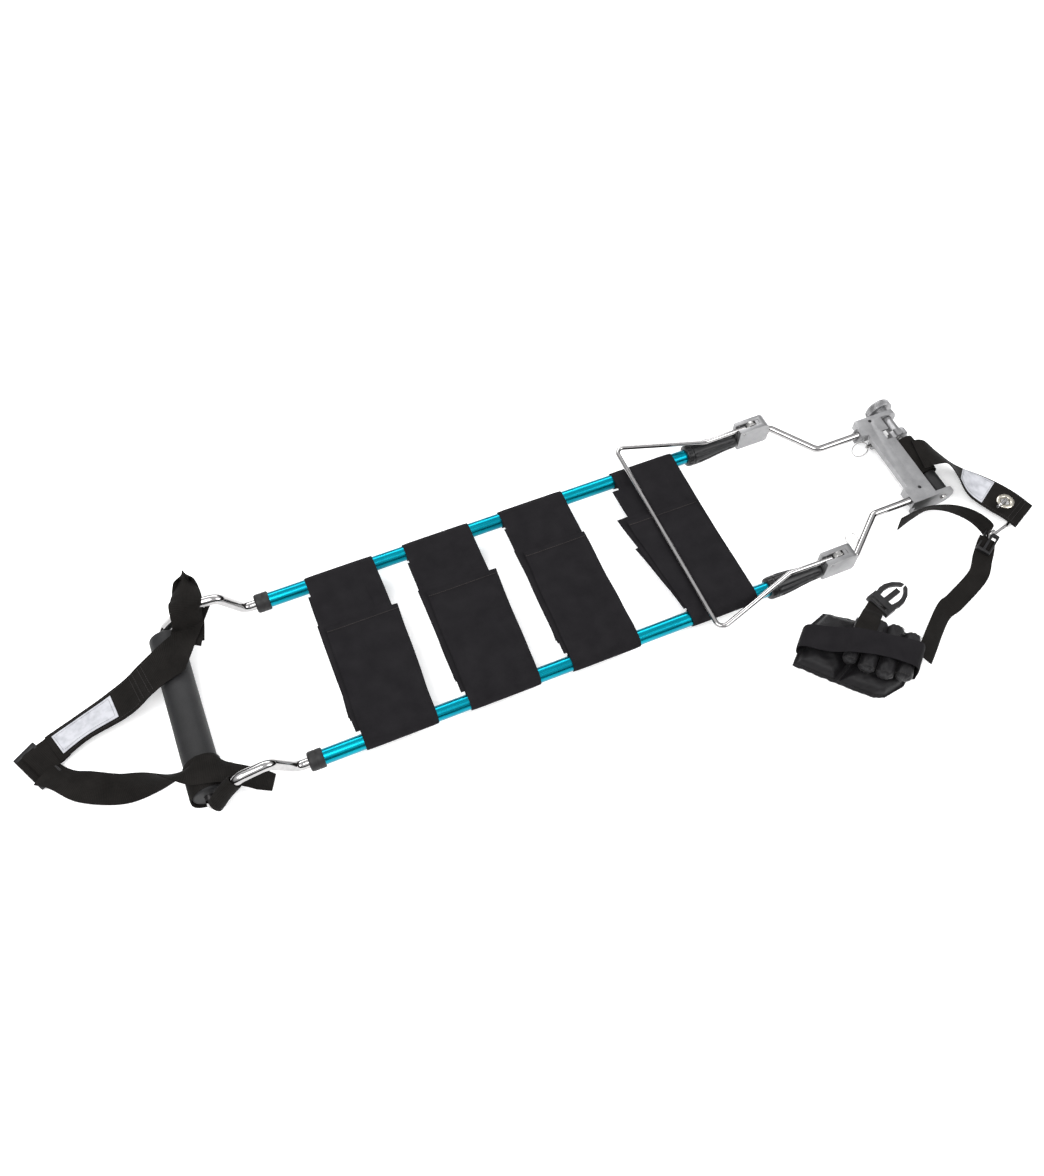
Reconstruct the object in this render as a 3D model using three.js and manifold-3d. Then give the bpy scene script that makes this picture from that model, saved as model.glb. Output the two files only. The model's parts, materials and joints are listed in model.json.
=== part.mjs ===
// Adult traction splint, collapsed and lying on a floor with its underside up.
// Millimetres. X runs along the side tubes towards the winch, Y across them, Z up.
// While it is built, X = 0 is the winch side of the end collars, Y = 0 is midway between
// the tubes and Z = 0 is the floor. The last lines move the origin to the box's bottom centre.
import * as THREE from "three";
import { mergeVertices } from "three/addons/utils/BufferGeometryUtils.js";
import Module from "manifold-3d";

const wasm = await Module();
wasm.setup();

// ---- driving dimensions -------------------------------------------------------------------

const GAP = 0.3; // clearance between pieces that touch
const AXIS_Z = 25; // height of the side tubes' axes above the floor
const TUBE_Y = 113; // half the distance between the side tubes' axes
const TUBE_R = 9.5;
const TUBE_BORE_R = 8;
const TUBE_END_X = 640; // hidden end of each side tube, inside its grip

const COLLAR_X = -18;
const COLLAR_R = 12;
const COLLAR_WALL = 3.6;

const RING_R = 6.35; // ischial ring tube
const RING_BORE_R = 4.9;
const RING_BAR_X = -133;
const RING_HUMP_Z = 64;
const PAD_Z = 22.7; // height of the padded bar, which rests on the strap round it
const PAD_R = 20;
const PAD_Y = [-108, 111];

const BAND_X = [48, 178, 310, 471]; // winch-side edges follow from the width
const BAND_WIDTH = 89;
const BAND_THICK = 1.4;
const FLAP_START_Y = -119;
const FLAP_HEM = [[-5, 7, 38], [-5, 7, 38], [-4, 0, 46], [-25, -8, 38]]; // corner shifts, Y
const FLAP_THICK = 3.2;

const GRIP_X = 580;
const GRIP_PROFILE = [[0, 12.9], [2.4, 14.2], [9, 14.6], [20, 14.6], [32, 13.6],
  [45, 12], [58, 10.8], [70, 10.3], [74, 9.8], [75.4, 9]]; // distance along, outer radius
const GRIP_GROOVES = 8;

const ROD_R = 4.75;
const ROD_BORE_R = 5.1;
const ROD_START_X = 300;
const ROD_END_X = 846;
const ROD_KNEE_X = 709; // where each rod turns inwards
const ROD_SETTLE_X = { far: 751, near: 764 }; // where it turns back along X
const ROD_END_Y = { far: 54, near: -66.5 };

const BLOCK_X = [656.4, 702];
const BLOCK_WIDTH = 20;
const BLOCK_Z = [14, 48.5];
const PIVOT_X = 662.5;
const PIVOT_Z = AXIS_Z + 18.5;
const PIN_R = 1.5;

const BAIL_R = 3.15; // heel stand wire
const BAIL_FLARE_X = 608;
const BAIL_BAR_X = 491;
const BAIL_BAR_Y = 150;
const BAIL_BAR_Z = 43.3;

const WINCH_X = [826, 857];
const WINCH_Y = [-75, 73];
const WINCH_TOP = 31;
const WINCH_WALL = 3;
const FLANGE_DROP = 9; // how far the edge away from the shaft turns down
const BOSS_LOW = 17; // underside of the blocks that hold the rods
const END_PLATE_NEAR = 6;
const END_PLATE_FAR = 7;
const SHAFT_X = 870;
const SHAFT_Z = 18.5;
const SHAFT_R = 4;
const PLATE_ROUND_R = 15;
const KNOB_R = 18;
const ROLL_R = 13;
const WHEEL_Y = [31, 42];
const WHEEL_R = 13;
const WHEEL_TEETH = 12;

const RELEASE_Y = 38.5;
const RELEASE_Z = 14;
const EYE_X = 825.5; // the pull ring's hole in the plunger
const BOSS_X = [830, 835];
const PULL_RING_R = 11.2;
const PULL_WIRE_R = 0.8;
const PULL_TILT = THREE.MathUtils.degToRad(33);
const PULL_YAW = THREE.MathUtils.degToRad(-20);

// ---- materials ----------------------------------------------------------------------------

const look = (color, roughness, metalness) =>
  new THREE.MeshStandardMaterial({ color, roughness, metalness });
const anodised = () => look(0x0096be, 0.28, 0.9);
const chrome = () => look(0xdfe2e4, 0.12, 1);
const casting = () => look(0xa9a8aa, 0.45, 0.9);
const rubber = () => look(0x3c3a3b, 0.7, 0);
const foam = () => look(0x464648, 0.85, 0);
const plastic = () => look(0x1d1c1d, 0.4, 0);
const webbing = () => look(0x262320, 0.9, 0);
const elastic = () => look(0x242226, 0.95, 0);
const label = () => look(0xdedee2, 0.8, 0);
const nylon = () => look(0xe8e6df, 0.5, 0);

// ---- general shapes -----------------------------------------------------------------------

const splint = new THREE.Group();

// A closed surface from any three.js geometry: shared vertices merged, faces outwards.
function closed(geometry) {
  const bare = geometry.index ? geometry.toNonIndexed() : geometry.clone();
  for (const name of Object.keys(bare.attributes)) {
    if (name !== "position") bare.deleteAttribute(name);
  }
  const merged = mergeVertices(bare, 1e-3);
  const at = (i) => new THREE.Vector3().fromBufferAttribute(merged.attributes.position, i);
  const faces = [];
  let volume = 0;
  for (let i = 0; i < merged.index.count; i += 3) {
    const [a, b, c] = [0, 1, 2].map((k) => merged.index.getX(i + k));
    if (a === b || b === c || c === a) continue;
    faces.push([a, b, c]);
    volume += at(a).dot(at(b).cross(at(c)));
  }
  merged.setIndex((volume < 0 ? faces.map(([a, b, c]) => [a, c, b]) : faces).flat());
  return merged;
}

function solid(geometry) {
  const surface = closed(geometry);
  return new wasm.Manifold(new wasm.Mesh({
    numProp: 3,
    vertProperties: new Float32Array(surface.attributes.position.array),
    triVerts: new Uint32Array(surface.index.array),
  }));
}

function geometryOf(manifold) {
  const mesh = manifold.getMesh();
  const geometry = new THREE.BufferGeometry();
  geometry.setAttribute("position", new THREE.BufferAttribute(mesh.vertProperties, 3));
  geometry.setIndex(new THREE.BufferAttribute(mesh.triVerts, 1));
  return geometry;
}

// The first geometry with the `joined` ones added and the `cut` ones taken away.
function shaped(base, joined, cut) {
  let result = solid(base);
  for (const piece of joined) result = result.add(solid(piece));
  for (const piece of cut) result = result.subtract(solid(piece));
  return geometryOf(result);
}

function place(name, geometry, material) {
  const surface = closed(geometry).toNonIndexed();
  surface.computeVertexNormals();
  const mesh = new THREE.Mesh(surface, material);
  mesh.name = name;
  splint.add(mesh);
  return mesh;
}

const box = ([x0, x1], [y0, y1], [z0, z1]) =>
  new THREE.BoxGeometry(x1 - x0, y1 - y0, z1 - z0)
    .translate((x0 + x1) / 2, (y0 + y1) / 2, (z0 + z1) / 2);

// Round bars along each axis, from one end to the other.
const barX = (r, [x0, x1], y, z, sides = 20) =>
  new THREE.CylinderGeometry(r, r, x1 - x0, sides).rotateZ(-Math.PI / 2)
    .translate((x0 + x1) / 2, y, z);
const barY = (r, x, [y0, y1], z, sides = 24) =>
  new THREE.CylinderGeometry(r, r, y1 - y0, sides).translate(x, (y0 + y1) / 2, z);
const barZ = (r, x, y, [z0, z1], sides = 16) =>
  new THREE.CylinderGeometry(r, r, z1 - z0, sides).rotateX(Math.PI / 2)
    .translate(x, y, (z0 + z1) / 2);

// A turned piece: [distance along, radius] points that close on themselves.
function turnedX(points, y, z, sides = 24) {
  const profile = [...points, points[0]].map(([along, r]) => new THREE.Vector2(r, along));
  return new THREE.LatheGeometry(profile, sides).rotateZ(-Math.PI / 2).translate(0, y, z);
}
function turnedY(points, x, z, sides = 24) {
  const profile = [...points, points[0]].map(([along, r]) => new THREE.Vector2(r, along));
  return new THREE.LatheGeometry(profile, sides).translate(x, 0, z);
}
const sleeve = ([a0, a1], inner, outer) => [[a0, inner], [a0, outer], [a1, outer], [a1, inner]];

// A wire or tube: straight stretches joined by circular bends. Its stations are the ends of
// the stretches and a few steps round each bend, so that no triangle is spent on a straight.
class BentPath extends THREE.Curve {
  constructor(corners, bendRadius, stepsPerBend = 5) {
    super();
    const points = corners.map((corner) => new THREE.Vector3(...corner));
    const radii = Array.isArray(bendRadius) ? bendRadius : corners.map(() => bendRadius);
    const way = (i) => points[i + 1].clone().sub(points[i]).normalize();
    this.stations = [{ point: points[0], tangent: way(0) }];
    for (let i = 1; i < points.length - 1; i++) {
      const [before, after] = [way(i - 1), way(i)];
      const turn = before.angleTo(after);
      const start = points[i].clone().addScaledVector(before, -radii[i] * Math.tan(turn / 2));
      const inwards = after.clone().sub(before.clone().multiplyScalar(before.dot(after)));
      inwards.normalize();
      for (let s = 0; s <= stepsPerBend; s++) {
        const angle = (turn * s) / stepsPerBend;
        this.stations.push({
          point: start.clone().addScaledVector(before, radii[i] * Math.sin(angle))
            .addScaledVector(inwards, radii[i] * (1 - Math.cos(angle))),
          tangent: before.clone().multiplyScalar(Math.cos(angle))
            .addScaledVector(inwards, Math.sin(angle)),
        });
      }
    }
    this.stations.push({ point: points.at(-1), tangent: way(points.length - 2) });
  }
  station(u) {
    return this.stations[Math.round(u * (this.stations.length - 1))];
  }
  getPointAt(u) {
    return this.station(u).point.clone();
  }
  getTangentAt(u) {
    return this.station(u).tangent.clone();
  }
}

const ringOfPoints = (r, sides) => Array.from({ length: sides }, (_, i) => {
  const angle = (2 * Math.PI * i) / sides;
  return new THREE.Vector2(r * Math.cos(angle), r * Math.sin(angle));
});

function bent(corners, bendRadius, r, { bore = 0, sides = 14, stepsPerBend = 5 } = {}) {
  const path = new BentPath(corners, bendRadius, stepsPerBend);
  const section = new THREE.Shape(ringOfPoints(r, sides));
  if (bore) section.holes.push(new THREE.Path(ringOfPoints(bore, 6)));
  const steps = path.stations.length - 1;
  return new THREE.ExtrudeGeometry(section, { steps, extrudePath: path });
}

// A flat strap. Each station is a centre point and the direction of the strap's width. A patch
// on a strap has the same stations, the share of them it covers, and its lift off the strap.
function strap(stations, width, thick, steps, { from = 0, to = 1, lift = 0 } = {}) {
  const centres = new THREE.CatmullRomCurve3(stations.map(([c]) => new THREE.Vector3(...c)));
  const across = new THREE.CatmullRomCurve3(stations.map(([, w]) => new THREE.Vector3(...w)));
  const geometry = new THREE.BoxGeometry(width, thick, 1, 1, 1, steps);
  const position = geometry.attributes.position;
  for (let i = 0; i < position.count; i++) {
    const t = THREE.MathUtils.lerp(from, to,
      THREE.MathUtils.clamp(position.getZ(i) + 0.5, 0, 1));
    const tangent = centres.getTangent(t);
    const side = across.getPoint(t);
    side.addScaledVector(tangent, -side.dot(tangent)).normalize();
    const up = new THREE.Vector3().crossVectors(tangent, side);
    const point = centres.getPoint(t).addScaledVector(side, position.getX(i))
      .addScaledVector(up, position.getY(i) + lift);
    position.setXYZ(i, point.x, point.y, point.z);
  }
  return geometry;
}

// A plate drawn in X and Z and as wide as the stretch of Y it fills.
function plateXZ(outline, [y0, y1]) {
  const shape = new THREE.Shape(outline.map(([x, z]) => new THREE.Vector2(x, z)));
  return new THREE.ExtrudeGeometry(shape, { depth: y1 - y0, bevelEnabled: false })
    .rotateX(Math.PI / 2).translate(0, y1, 0);
}

// A plate drawn in X and Y, between two heights.
function plateXY(outline, [z0, z1]) {
  const shape = new THREE.Shape(outline.map(([x, y]) => new THREE.Vector2(x, y)));
  return new THREE.ExtrudeGeometry(shape, { depth: z1 - z0, bevelEnabled: false })
    .translate(0, 0, z0);
}

const SIDES = [["far", 1], ["near", -1]];

// ---- frame --------------------------------------------------------------------------------

function sideTubes() {
  for (const [side, s] of SIDES) {
    const y = s * TUBE_Y;
    const wall = sleeve([COLLAR_X + COLLAR_WALL + GAP, TUBE_END_X], TUBE_BORE_R, TUBE_R);
    place(`side_tube_${side}`, turnedX(wall, y, AXIS_Z, 28), anodised());
    const cap = [
      [COLLAR_X, RING_R + GAP], [COLLAR_X, COLLAR_R - 1], [COLLAR_X + 1, COLLAR_R],
      [-1, COLLAR_R], [0, COLLAR_R - 1], [0, TUBE_R + GAP],
      [COLLAR_X + COLLAR_WALL, TUBE_R + GAP], [COLLAR_X + COLLAR_WALL, RING_R + GAP],
    ];
    place(`end_collar_${side}`, turnedX(cap, y, AXIS_Z, 28), rubber());
    const collet = sleeve([TUBE_END_X - 40, TUBE_END_X - 1], ROD_BORE_R, TUBE_BORE_R - GAP);
    place(`rod_collet_${side}`, turnedX(collet, y, AXIS_Z, 20), nylon());
  }
}

// The ring leaves each tube, humps over and comes down to the padded bar.
function ischialRing() {
  const leg = (s) => [
    [16, s * TUBE_Y, AXIS_Z], [-32, s * TUBE_Y, AXIS_Z], [-58, s * (TUBE_Y + 2), RING_HUMP_Z],
    [-94, s * (TUBE_Y + 5), RING_HUMP_Z], [RING_BAR_X, s * (TUBE_Y + 9.5), PAD_Z],
  ];
  const corners = [...leg(1), ...leg(-1).reverse()];
  const radii = [0, 15, 15, 15, 9, 9, 15, 15, 15, 0];
  const tube = bent(corners, radii, RING_R, { bore: RING_BORE_R, sides: 12, stepsPerBend: 4 });
  place("ischial_ring", tube, chrome());
  const [y0, y1] = PAD_Y;
  const edge = 3;
  const pad = [
    [y0, RING_R + GAP], [y0, PAD_R - edge], [y0 + edge, PAD_R],
    [y1 - edge, PAD_R], [y1, PAD_R - edge], [y1, RING_R + GAP],
  ];
  place("ischial_pad", turnedY(pad, RING_BAR_X, PAD_Z, 32), foam());
}

// Strap stations are chosen by hand: [centre, direction of the width].
const WIDE_STRAP = [
  [[-98, 88, 47], [0.4, 1, 0]], [[-120, 72, 47], [0.3, 1, 0]],
  [[-142, 63, 45.5], [0.1, 1, 0]], [[-166, 56, 37], [-0.1, 1, 0]],
  [[-198, 48, 21], [-0.2, 1, 0]], [[-252, 38, 10.5], [-0.3, 1, 0]],
  [[-292, 24, 7], [-0.45, 1, 0]],
];
const LOOP_STRAP = [
  [[-90, 112, 73], [1, 0.1, 0]], [[-89, 132, 74], [1, 0, 0]],
  [[-88, 156, 70], [1, 0, 0]], [[-89, 158, 60], [1, 0, 0]],
  [[-91, 142, 54], [1, 0.1, 0]], [[-93, 130, 49], [1, 0.1, 0]],
];
const NEAR_STRAP = [
  [[-287, -17, 9], [0.6, 0.75, 0.3]], [[-262, -36, 12], [0.45, 0.75, 0.5]],
  [[-224, -58, 17], [0.1, 0.75, 0.65]], [[-190, -66, 24], [0, 0.3, 0.95]],
  [[-170, -72, 28], [0.1, -0.1, 1]],
];
const WRAP_END = [
  [[-138, -82, 44.4], [0.1, 1, 0]], [[-120, -88, 43.5], [0.3, 0.95, 0]],
  [[-104, -96, 36], [0.45, 0.9, 0]], [[-86, -104, 27], [0.5, 0.85, 0]],
  [[-66, -112, 19], [0.5, 0.85, 0.1]],
];

function ischialStrap() {
  place("ischial_strap_wide", strap(WIDE_STRAP, 48, 2, 14), webbing());
  place("ischial_strap_loop", strap(LOOP_STRAP, 34, 2, 12), webbing());
  place("ischial_strap_near", strap(NEAR_STRAP, 38, 2, 28), webbing());
  const wrap = sleeve([-107, -66], PAD_R + GAP, PAD_R + 2.6);
  const round = turnedY(wrap, RING_BAR_X, PAD_Z, 28);
  place("ischial_strap_wrap", shaped(round, [strap(WRAP_END, 34, 2, 16)], []), webbing());
  slider();
  const tag = [[[-214, 44.6, 19.6], [-0.2, 1, 0]], [[-250, 38.4, 13.2], [-0.28, 1, 0]],
    [[-284, 27.2, 10.6], [-0.4, 1, 0]]];
  place("ischial_label", strap(tag, 34, 0.6, 16), label());
}

// Tri-glide: a flat frame with two slots, lying on the floor at the strap's turn.
function slider() {
  const [length, width, thick] = [54, 30, 4];
  const frame = new THREE.BoxGeometry(width, length, thick);
  const slots = [-7, 7].map((x) => new THREE.BoxGeometry(7, length - 12, 3 * thick)
    .translate(x, 0, 0));
  const piece = shaped(frame, [], slots);
  piece.rotateY(-0.12).rotateZ(0.48).translate(-311, 13, 6.2);
  place("strap_slider", piece, plastic());
}

// Each band is one web with a sewn pocket round each tube.
function cradleBands() {
  const pocketR = TUBE_R + GAP;
  const top = AXIS_Z + pocketR + BAND_THICK;
  BAND_X.forEach((x0, i) => {
    const x = [x0, x0 + BAND_WIDTH];
    const pocket = (s) => turnedX(sleeve(x, pocketR, pocketR + BAND_THICK), s * TUBE_Y,
      AXIS_Z, 24);
    const web = box(x, [-TUBE_Y, TUBE_Y], [top - BAND_THICK + 0.1, top - 0.05]);
    place(`cradle_band_${i + 1}`, shaped(pocket(1), [pocket(-1), web], []), elastic());
    const [shift0, shift1, hemY] = FLAP_HEM[i];
    const outline = [[x[0], FLAP_START_Y], [x[1], FLAP_START_Y], [x[1] + shift1, hemY],
      [x[0] + shift0, hemY]];
    const flap = plateXY(outline, [top + 0.4, top + 0.4 + FLAP_THICK]);
    place(`cradle_flap_${i + 1}`, flap, elastic());
  });
}

// ---- grips and extension ------------------------------------------------------------------

// A tapered grip with long grooves: it clears the tube, then closes down onto the rod.
function lockGrips() {
  const outer = GRIP_PROFILE.map(([along, r]) => [GRIP_X + along, r]);
  const end = GRIP_X + GRIP_PROFILE.at(-1)[0];
  const shoulder = TUBE_END_X + 1;
  const bore = [[end, ROD_BORE_R], [shoulder, ROD_BORE_R], [shoulder, TUBE_R + GAP],
    [GRIP_X, TUBE_R + GAP]];
  for (const [side, s] of SIDES) {
    const grip = turnedX([...outer, ...bore], 0, 0, 4 * GRIP_GROOVES);
    const position = grip.attributes.position;
    for (let i = 0; i < position.count; i++) {
      const [x, y, z] = [position.getX(i), position.getY(i), position.getZ(i)];
      const r = Math.hypot(y, z);
      const grooved = x > GRIP_X + 8 && x < GRIP_X + 72 && r > TUBE_R + 2 * GAP;
      if (!grooved) continue;
      const depth = 0.9 * Math.max(0, Math.cos(GRIP_GROOVES * Math.atan2(z, y)));
      position.setXYZ(i, x, (y * (r - depth)) / r, (z * (r - depth)) / r);
    }
    place(`lock_grip_${side}`, grip.translate(0, s * TUBE_Y, AXIS_Z), rubber());
  }
}

function slideRods() {
  for (const [side, s] of SIDES) {
    const y = s * TUBE_Y;
    const corners = [[ROD_START_X, y, AXIS_Z], [ROD_KNEE_X, y, AXIS_Z],
      [ROD_SETTLE_X[side], ROD_END_Y[side], AXIS_Z], [ROD_END_X, ROD_END_Y[side], AXIS_Z]];
    place(`slide_rod_${side}`, bent(corners, 12, ROD_R, { sides: 16 }), chrome());
    const guide = sleeve([ROD_START_X + 5, ROD_START_X + 25], ROD_R + GAP, TUBE_BORE_R - GAP);
    place(`rod_guide_${side}`, turnedX(guide, y, AXIS_Z, 20), nylon());
  }
}

// Cast blocks fixed on the rods. Each holds a leg of the heel stand and its sprung latch.
function hingeBlocks() {
  const [x0, x1] = BLOCK_X;
  const [z0, z1] = BLOCK_Z;
  const outline = [[x0, z0], [x1 - 3, z0], [x1, z0 + 3], [x1, z1 - 8], [x1 - 3, z1 - 3],
    [x1 - 8, z1], [x0, z1]];
  for (const [side, s] of SIDES) {
    const y = s * TUBE_Y;
    const across = [y - BLOCK_WIDTH / 2, y + BLOCK_WIDTH / 2];
    const slot = [y - 3.8, y + 3.8];
    const cuts = [
      barX(ROD_BORE_R, [x0 - 1, x1 + 1], y, AXIS_Z),
      box([x0 - 1, x0 + 13.3], slot, [36.5, z1 + 1]),
      box([x0 + 13, x0 + 33], slot, [38.5, z1 + 1]),
      barY(PIN_R + GAP, PIVOT_X, [across[0] - 1, across[1] + 1], PIVOT_Z, 16),
    ];
    place(`hinge_block_${side}`, shaped(plateXZ(outline, across), [], cuts), casting());
    const pin = barY(PIN_R, PIVOT_X, [across[0] + 0.3, across[1] - 0.3], PIVOT_Z, 16);
    place(`hinge_pin_${side}`, pin, chrome());
    const latchX = [x0 + 14, x0 + 24];
    const latch = plateXZ([[latchX[0], 39], [latchX[1], 39], [latchX[1], z1 + 1.6],
      [latchX[0] + 4, z1 + 1.6], [latchX[0], z1 - 2]], [slot[0] + 0.4, slot[1] - 0.4]);
    place(`heel_latch_${side}`, latch, chrome());
    place(`latch_spring_${side}`, coil([latchX[1] + 0.3, x0 + 32.7], 2.6, 0.45, 4, y,
      PIVOT_Z), chrome());
  }
}

// A compression spring along X.
function coil([x0, x1], r, wire, turns, y, z) {
  const helix = new THREE.Curve();
  helix.getPoint = (t) => {
    const angle = 2 * Math.PI * turns * t;
    const x = THREE.MathUtils.lerp(x0 + wire, x1 - wire, t);
    return new THREE.Vector3(x, y + r * Math.cos(angle), z + r * Math.sin(angle));
  };
  const section = new THREE.Shape(ringOfPoints(wire, 5));
  return new THREE.ExtrudeGeometry(section, { steps: turns * 8, extrudePath: helix });
}

// The bail's legs lie over the grips, flare out past the tubes and meet at the crossbar.
function heelStand() {
  const leg = (s) => [
    [PIVOT_X + 5.5, s * TUBE_Y, PIVOT_Z], [BAIL_FLARE_X, s * (TUBE_Y - 1), PIVOT_Z],
    [BAIL_BAR_X, s * BAIL_BAR_Y, BAIL_BAR_Z],
  ];
  const wire = bent([...leg(1), ...leg(-1).reverse()], [0, 12, 9, 9, 12, 0], BAIL_R,
    { sides: 12 });
  const holes = [-1, 1].map((s) => barY(PIN_R + GAP, PIVOT_X,
    [s * TUBE_Y - 6, s * TUBE_Y + 6], PIVOT_Z, 12));
  place("heel_stand_bail", shaped(wire, [], holes), chrome());
}

// ---- winch --------------------------------------------------------------------------------

// End plate of the winch bracket: it runs out past the shaft and ends in a half round.
function endPlate(y) {
  const outline = [[WINCH_X[0], 0], [WINCH_X[0] + 14, 0], [SHAFT_X, SHAFT_Z - PLATE_ROUND_R]];
  const steps = 10;
  for (let i = 1; i < steps; i++) {
    const angle = -Math.PI / 2 + (Math.PI * i) / steps;
    outline.push([SHAFT_X + PLATE_ROUND_R * Math.cos(angle),
      Math.min(WINCH_TOP, SHAFT_Z + PLATE_ROUND_R * Math.sin(angle))]);
  }
  outline.push([SHAFT_X - 4, WINCH_TOP], [WINCH_X[0], WINCH_TOP]);
  return plateXZ(outline, y);
}

const rollPins = [[840, 65.5], [841, -55.5]];

function winchBracket() {
  const [x0, x1] = WINCH_X;
  const [y0, y1] = WINCH_Y;
  const top = box(WINCH_X, WINCH_Y, [WINCH_TOP - WINCH_WALL, WINCH_TOP]);
  const flange = box([x0, x0 + WINCH_WALL], WINCH_Y, [WINCH_TOP - FLANGE_DROP, WINCH_TOP]);
  const nearBoss = box([x0 - 6, x0 + 24], [y0, y0 + 26], [BOSS_LOW, WINCH_TOP]);
  const farBoss = box([x0 - 6, x0 + 24], [y1 - 27, y1], [BOSS_LOW, WINCH_TOP]);
  const gusset = plateXZ([[x0 - 18, 18.6], [x0, 18], [x0, WINCH_TOP], [x0 - 10, WINCH_TOP]],
    [ROD_END_Y.far - 7, ROD_END_Y.far + 7]);
  const housing = barX(6.5, BOSS_X, RELEASE_Y, RELEASE_Z);
  const rib = box(BOSS_X, [RELEASE_Y - 6, RELEASE_Y + 6], [RELEASE_Z + 4, WINCH_TOP - 1]);
  const joined = [flange, rib, endPlate([y0, y0 + END_PLATE_NEAR]),
    endPlate([y1 - END_PLATE_FAR, y1]), nearBoss, farBoss, gusset, housing];
  const notch = box([x1 - 11, x1 + 1], [WHEEL_Y[0] - 2, WHEEL_Y[1] + 3], [20, WINCH_TOP + 1]);
  const cuts = [
    notch,
    barY(SHAFT_R + GAP, SHAFT_X, [y0 - 1, y1 + 1], SHAFT_Z),
    barX(ROD_BORE_R, [x0 - 30, ROD_END_X + GAP], ROD_END_Y.far, AXIS_Z),
    barX(ROD_BORE_R, [x0 - 30, ROD_END_X + GAP], ROD_END_Y.near, AXIS_Z),
    barX(2.5 + GAP, [BOSS_X[0] - 1, BOSS_X[1] + 1], RELEASE_Y, RELEASE_Z),
    ...rollPins.map(([x, y]) => barZ(2.5, x, y, [BOSS_LOW - 1, WINCH_TOP + 1])),
  ];
  place("winch_bracket", shaped(top, joined, cuts), casting());
  rollPins.forEach(([x, y], i) => {
    const pin = barZ(2.5 - GAP, x, y, [BOSS_LOW + 1, WINCH_TOP - 1]);
    place(`bracket_pin_${["far", "near"][i]}`, pin, plastic());
  });
}

function winchSpindle() {
  const [y0, y1] = WINCH_Y;
  const knobY = [y1 + 7, y1 + 17];
  place("winch_shaft", barY(SHAFT_R, SHAFT_X, [y0 - 2, knobY[1] - 2], SHAFT_Z), chrome());
  const teeth = [];
  for (let i = 0; i < WHEEL_TEETH; i++) {
    const angle = (2 * Math.PI * i) / WHEEL_TEETH;
    const lean = (0.75 * Math.PI) / WHEEL_TEETH;
    teeth.push([WHEEL_R * Math.cos(angle), WHEEL_R * Math.sin(angle)]);
    teeth.push([(WHEEL_R - 2.6) * Math.cos(angle + lean), (WHEEL_R - 2.6) * Math.sin(angle + lean)]);
  }
  const disc = plateXZ(teeth.map(([x, z]) => [x + SHAFT_X, z + SHAFT_Z]), WHEEL_Y);
  const hub = barY(8, SHAFT_X, [WHEEL_Y[1] - 1, y1 - END_PLATE_FAR - 1], SHAFT_Z);
  const bore = barY(SHAFT_R + GAP, SHAFT_X, [0, 100], SHAFT_Z);
  place("ratchet_wheel", shaped(disc, [hub], [bore]), casting());
  const knob = barY(KNOB_R, SHAFT_X, knobY, SHAFT_Z, 40);
  const knobHub = barY(10, SHAFT_X, [y1 + 1, knobY[0] + 1], SHAFT_Z);
  const knobBore = barY(SHAFT_R + GAP, SHAFT_X, [y1, knobY[1] - 1.6], SHAFT_Z);
  place("winch_knob", shaped(knob, [knobHub], [knobBore]), casting());
  const roll = sleeve([-36, 25], SHAFT_R + GAP, ROLL_R);
  place("strap_roll", turnedY(roll, SHAFT_X, SHAFT_Z, 28), webbing());
  const spacer = sleeve([y0 + END_PLATE_NEAR + 1, -37], SHAFT_R + GAP, 10.5);
  place("shaft_spacer", turnedY(spacer, SHAFT_X, SHAFT_Z, 28), plastic());
}

// A sprung plunger drops between the ratchet wheel's teeth. Its ring pulls it back.
function ratchetRelease() {
  const tipX = SHAFT_X - WHEEL_R - 0.9;
  const collarX = [tipX - 9, tipX - 7.5];
  const rod = barX(2.5, [BOSS_X[0] - 1.5, tipX], RELEASE_Y, RELEASE_Z, 16);
  const collar = barX(4.2, collarX, RELEASE_Y, RELEASE_Z, 16);
  const tab = box([EYE_X - 3, BOSS_X[0] - 1], [RELEASE_Y - 1.2, RELEASE_Y + 1.2],
    [RELEASE_Z - 2.4, RELEASE_Z + 2.4]);
  const eye = barY(1.5, EYE_X, [RELEASE_Y - 3, RELEASE_Y + 3], RELEASE_Z, 12);
  place("release_plunger", shaped(rod, [collar, tab], [eye]), chrome());
  const spring = coil([BOSS_X[1] + 0.4, collarX[0] - 0.4], 3.5, 0.5, 5, RELEASE_Y, RELEASE_Z);
  place("plunger_spring", spring, chrome());
  const ring = new THREE.TorusGeometry(PULL_RING_R, PULL_WIRE_R, 8, 28);
  ring.translate(-PULL_RING_R, 0, 0).rotateY(-PULL_TILT).rotateZ(PULL_YAW)
    .translate(EYE_X, RELEASE_Y, RELEASE_Z);
  place("pull_ring", ring, chrome());
}

// ---- traction strap and ankle hitch -------------------------------------------------------

const TRACTION_STRAP = [
  [[866, -11, 32.9], [0, 1, 0]], [[880, -14, 33.4], [0.15, 1, -0.12]],
  [[898, -26, 28], [0.3, 0.78, -0.5]], [[912, -48, 19], [0.45, 0.75, -0.42]],
  [[925, -73, 11.5], [0.77, 0.6, -0.12]], [[939, -97, 9.5], [0.82, 0.56, 0]],
  [[949, -117, 9.5], [0.82, 0.56, 0]], [[959, -138, 6], [0.8, 0.6, 0]],
];
const GROMMET = [947, -110, 9.5];
const HOOK_R = 2.1;
const KEEPER = [899, -150];

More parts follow.
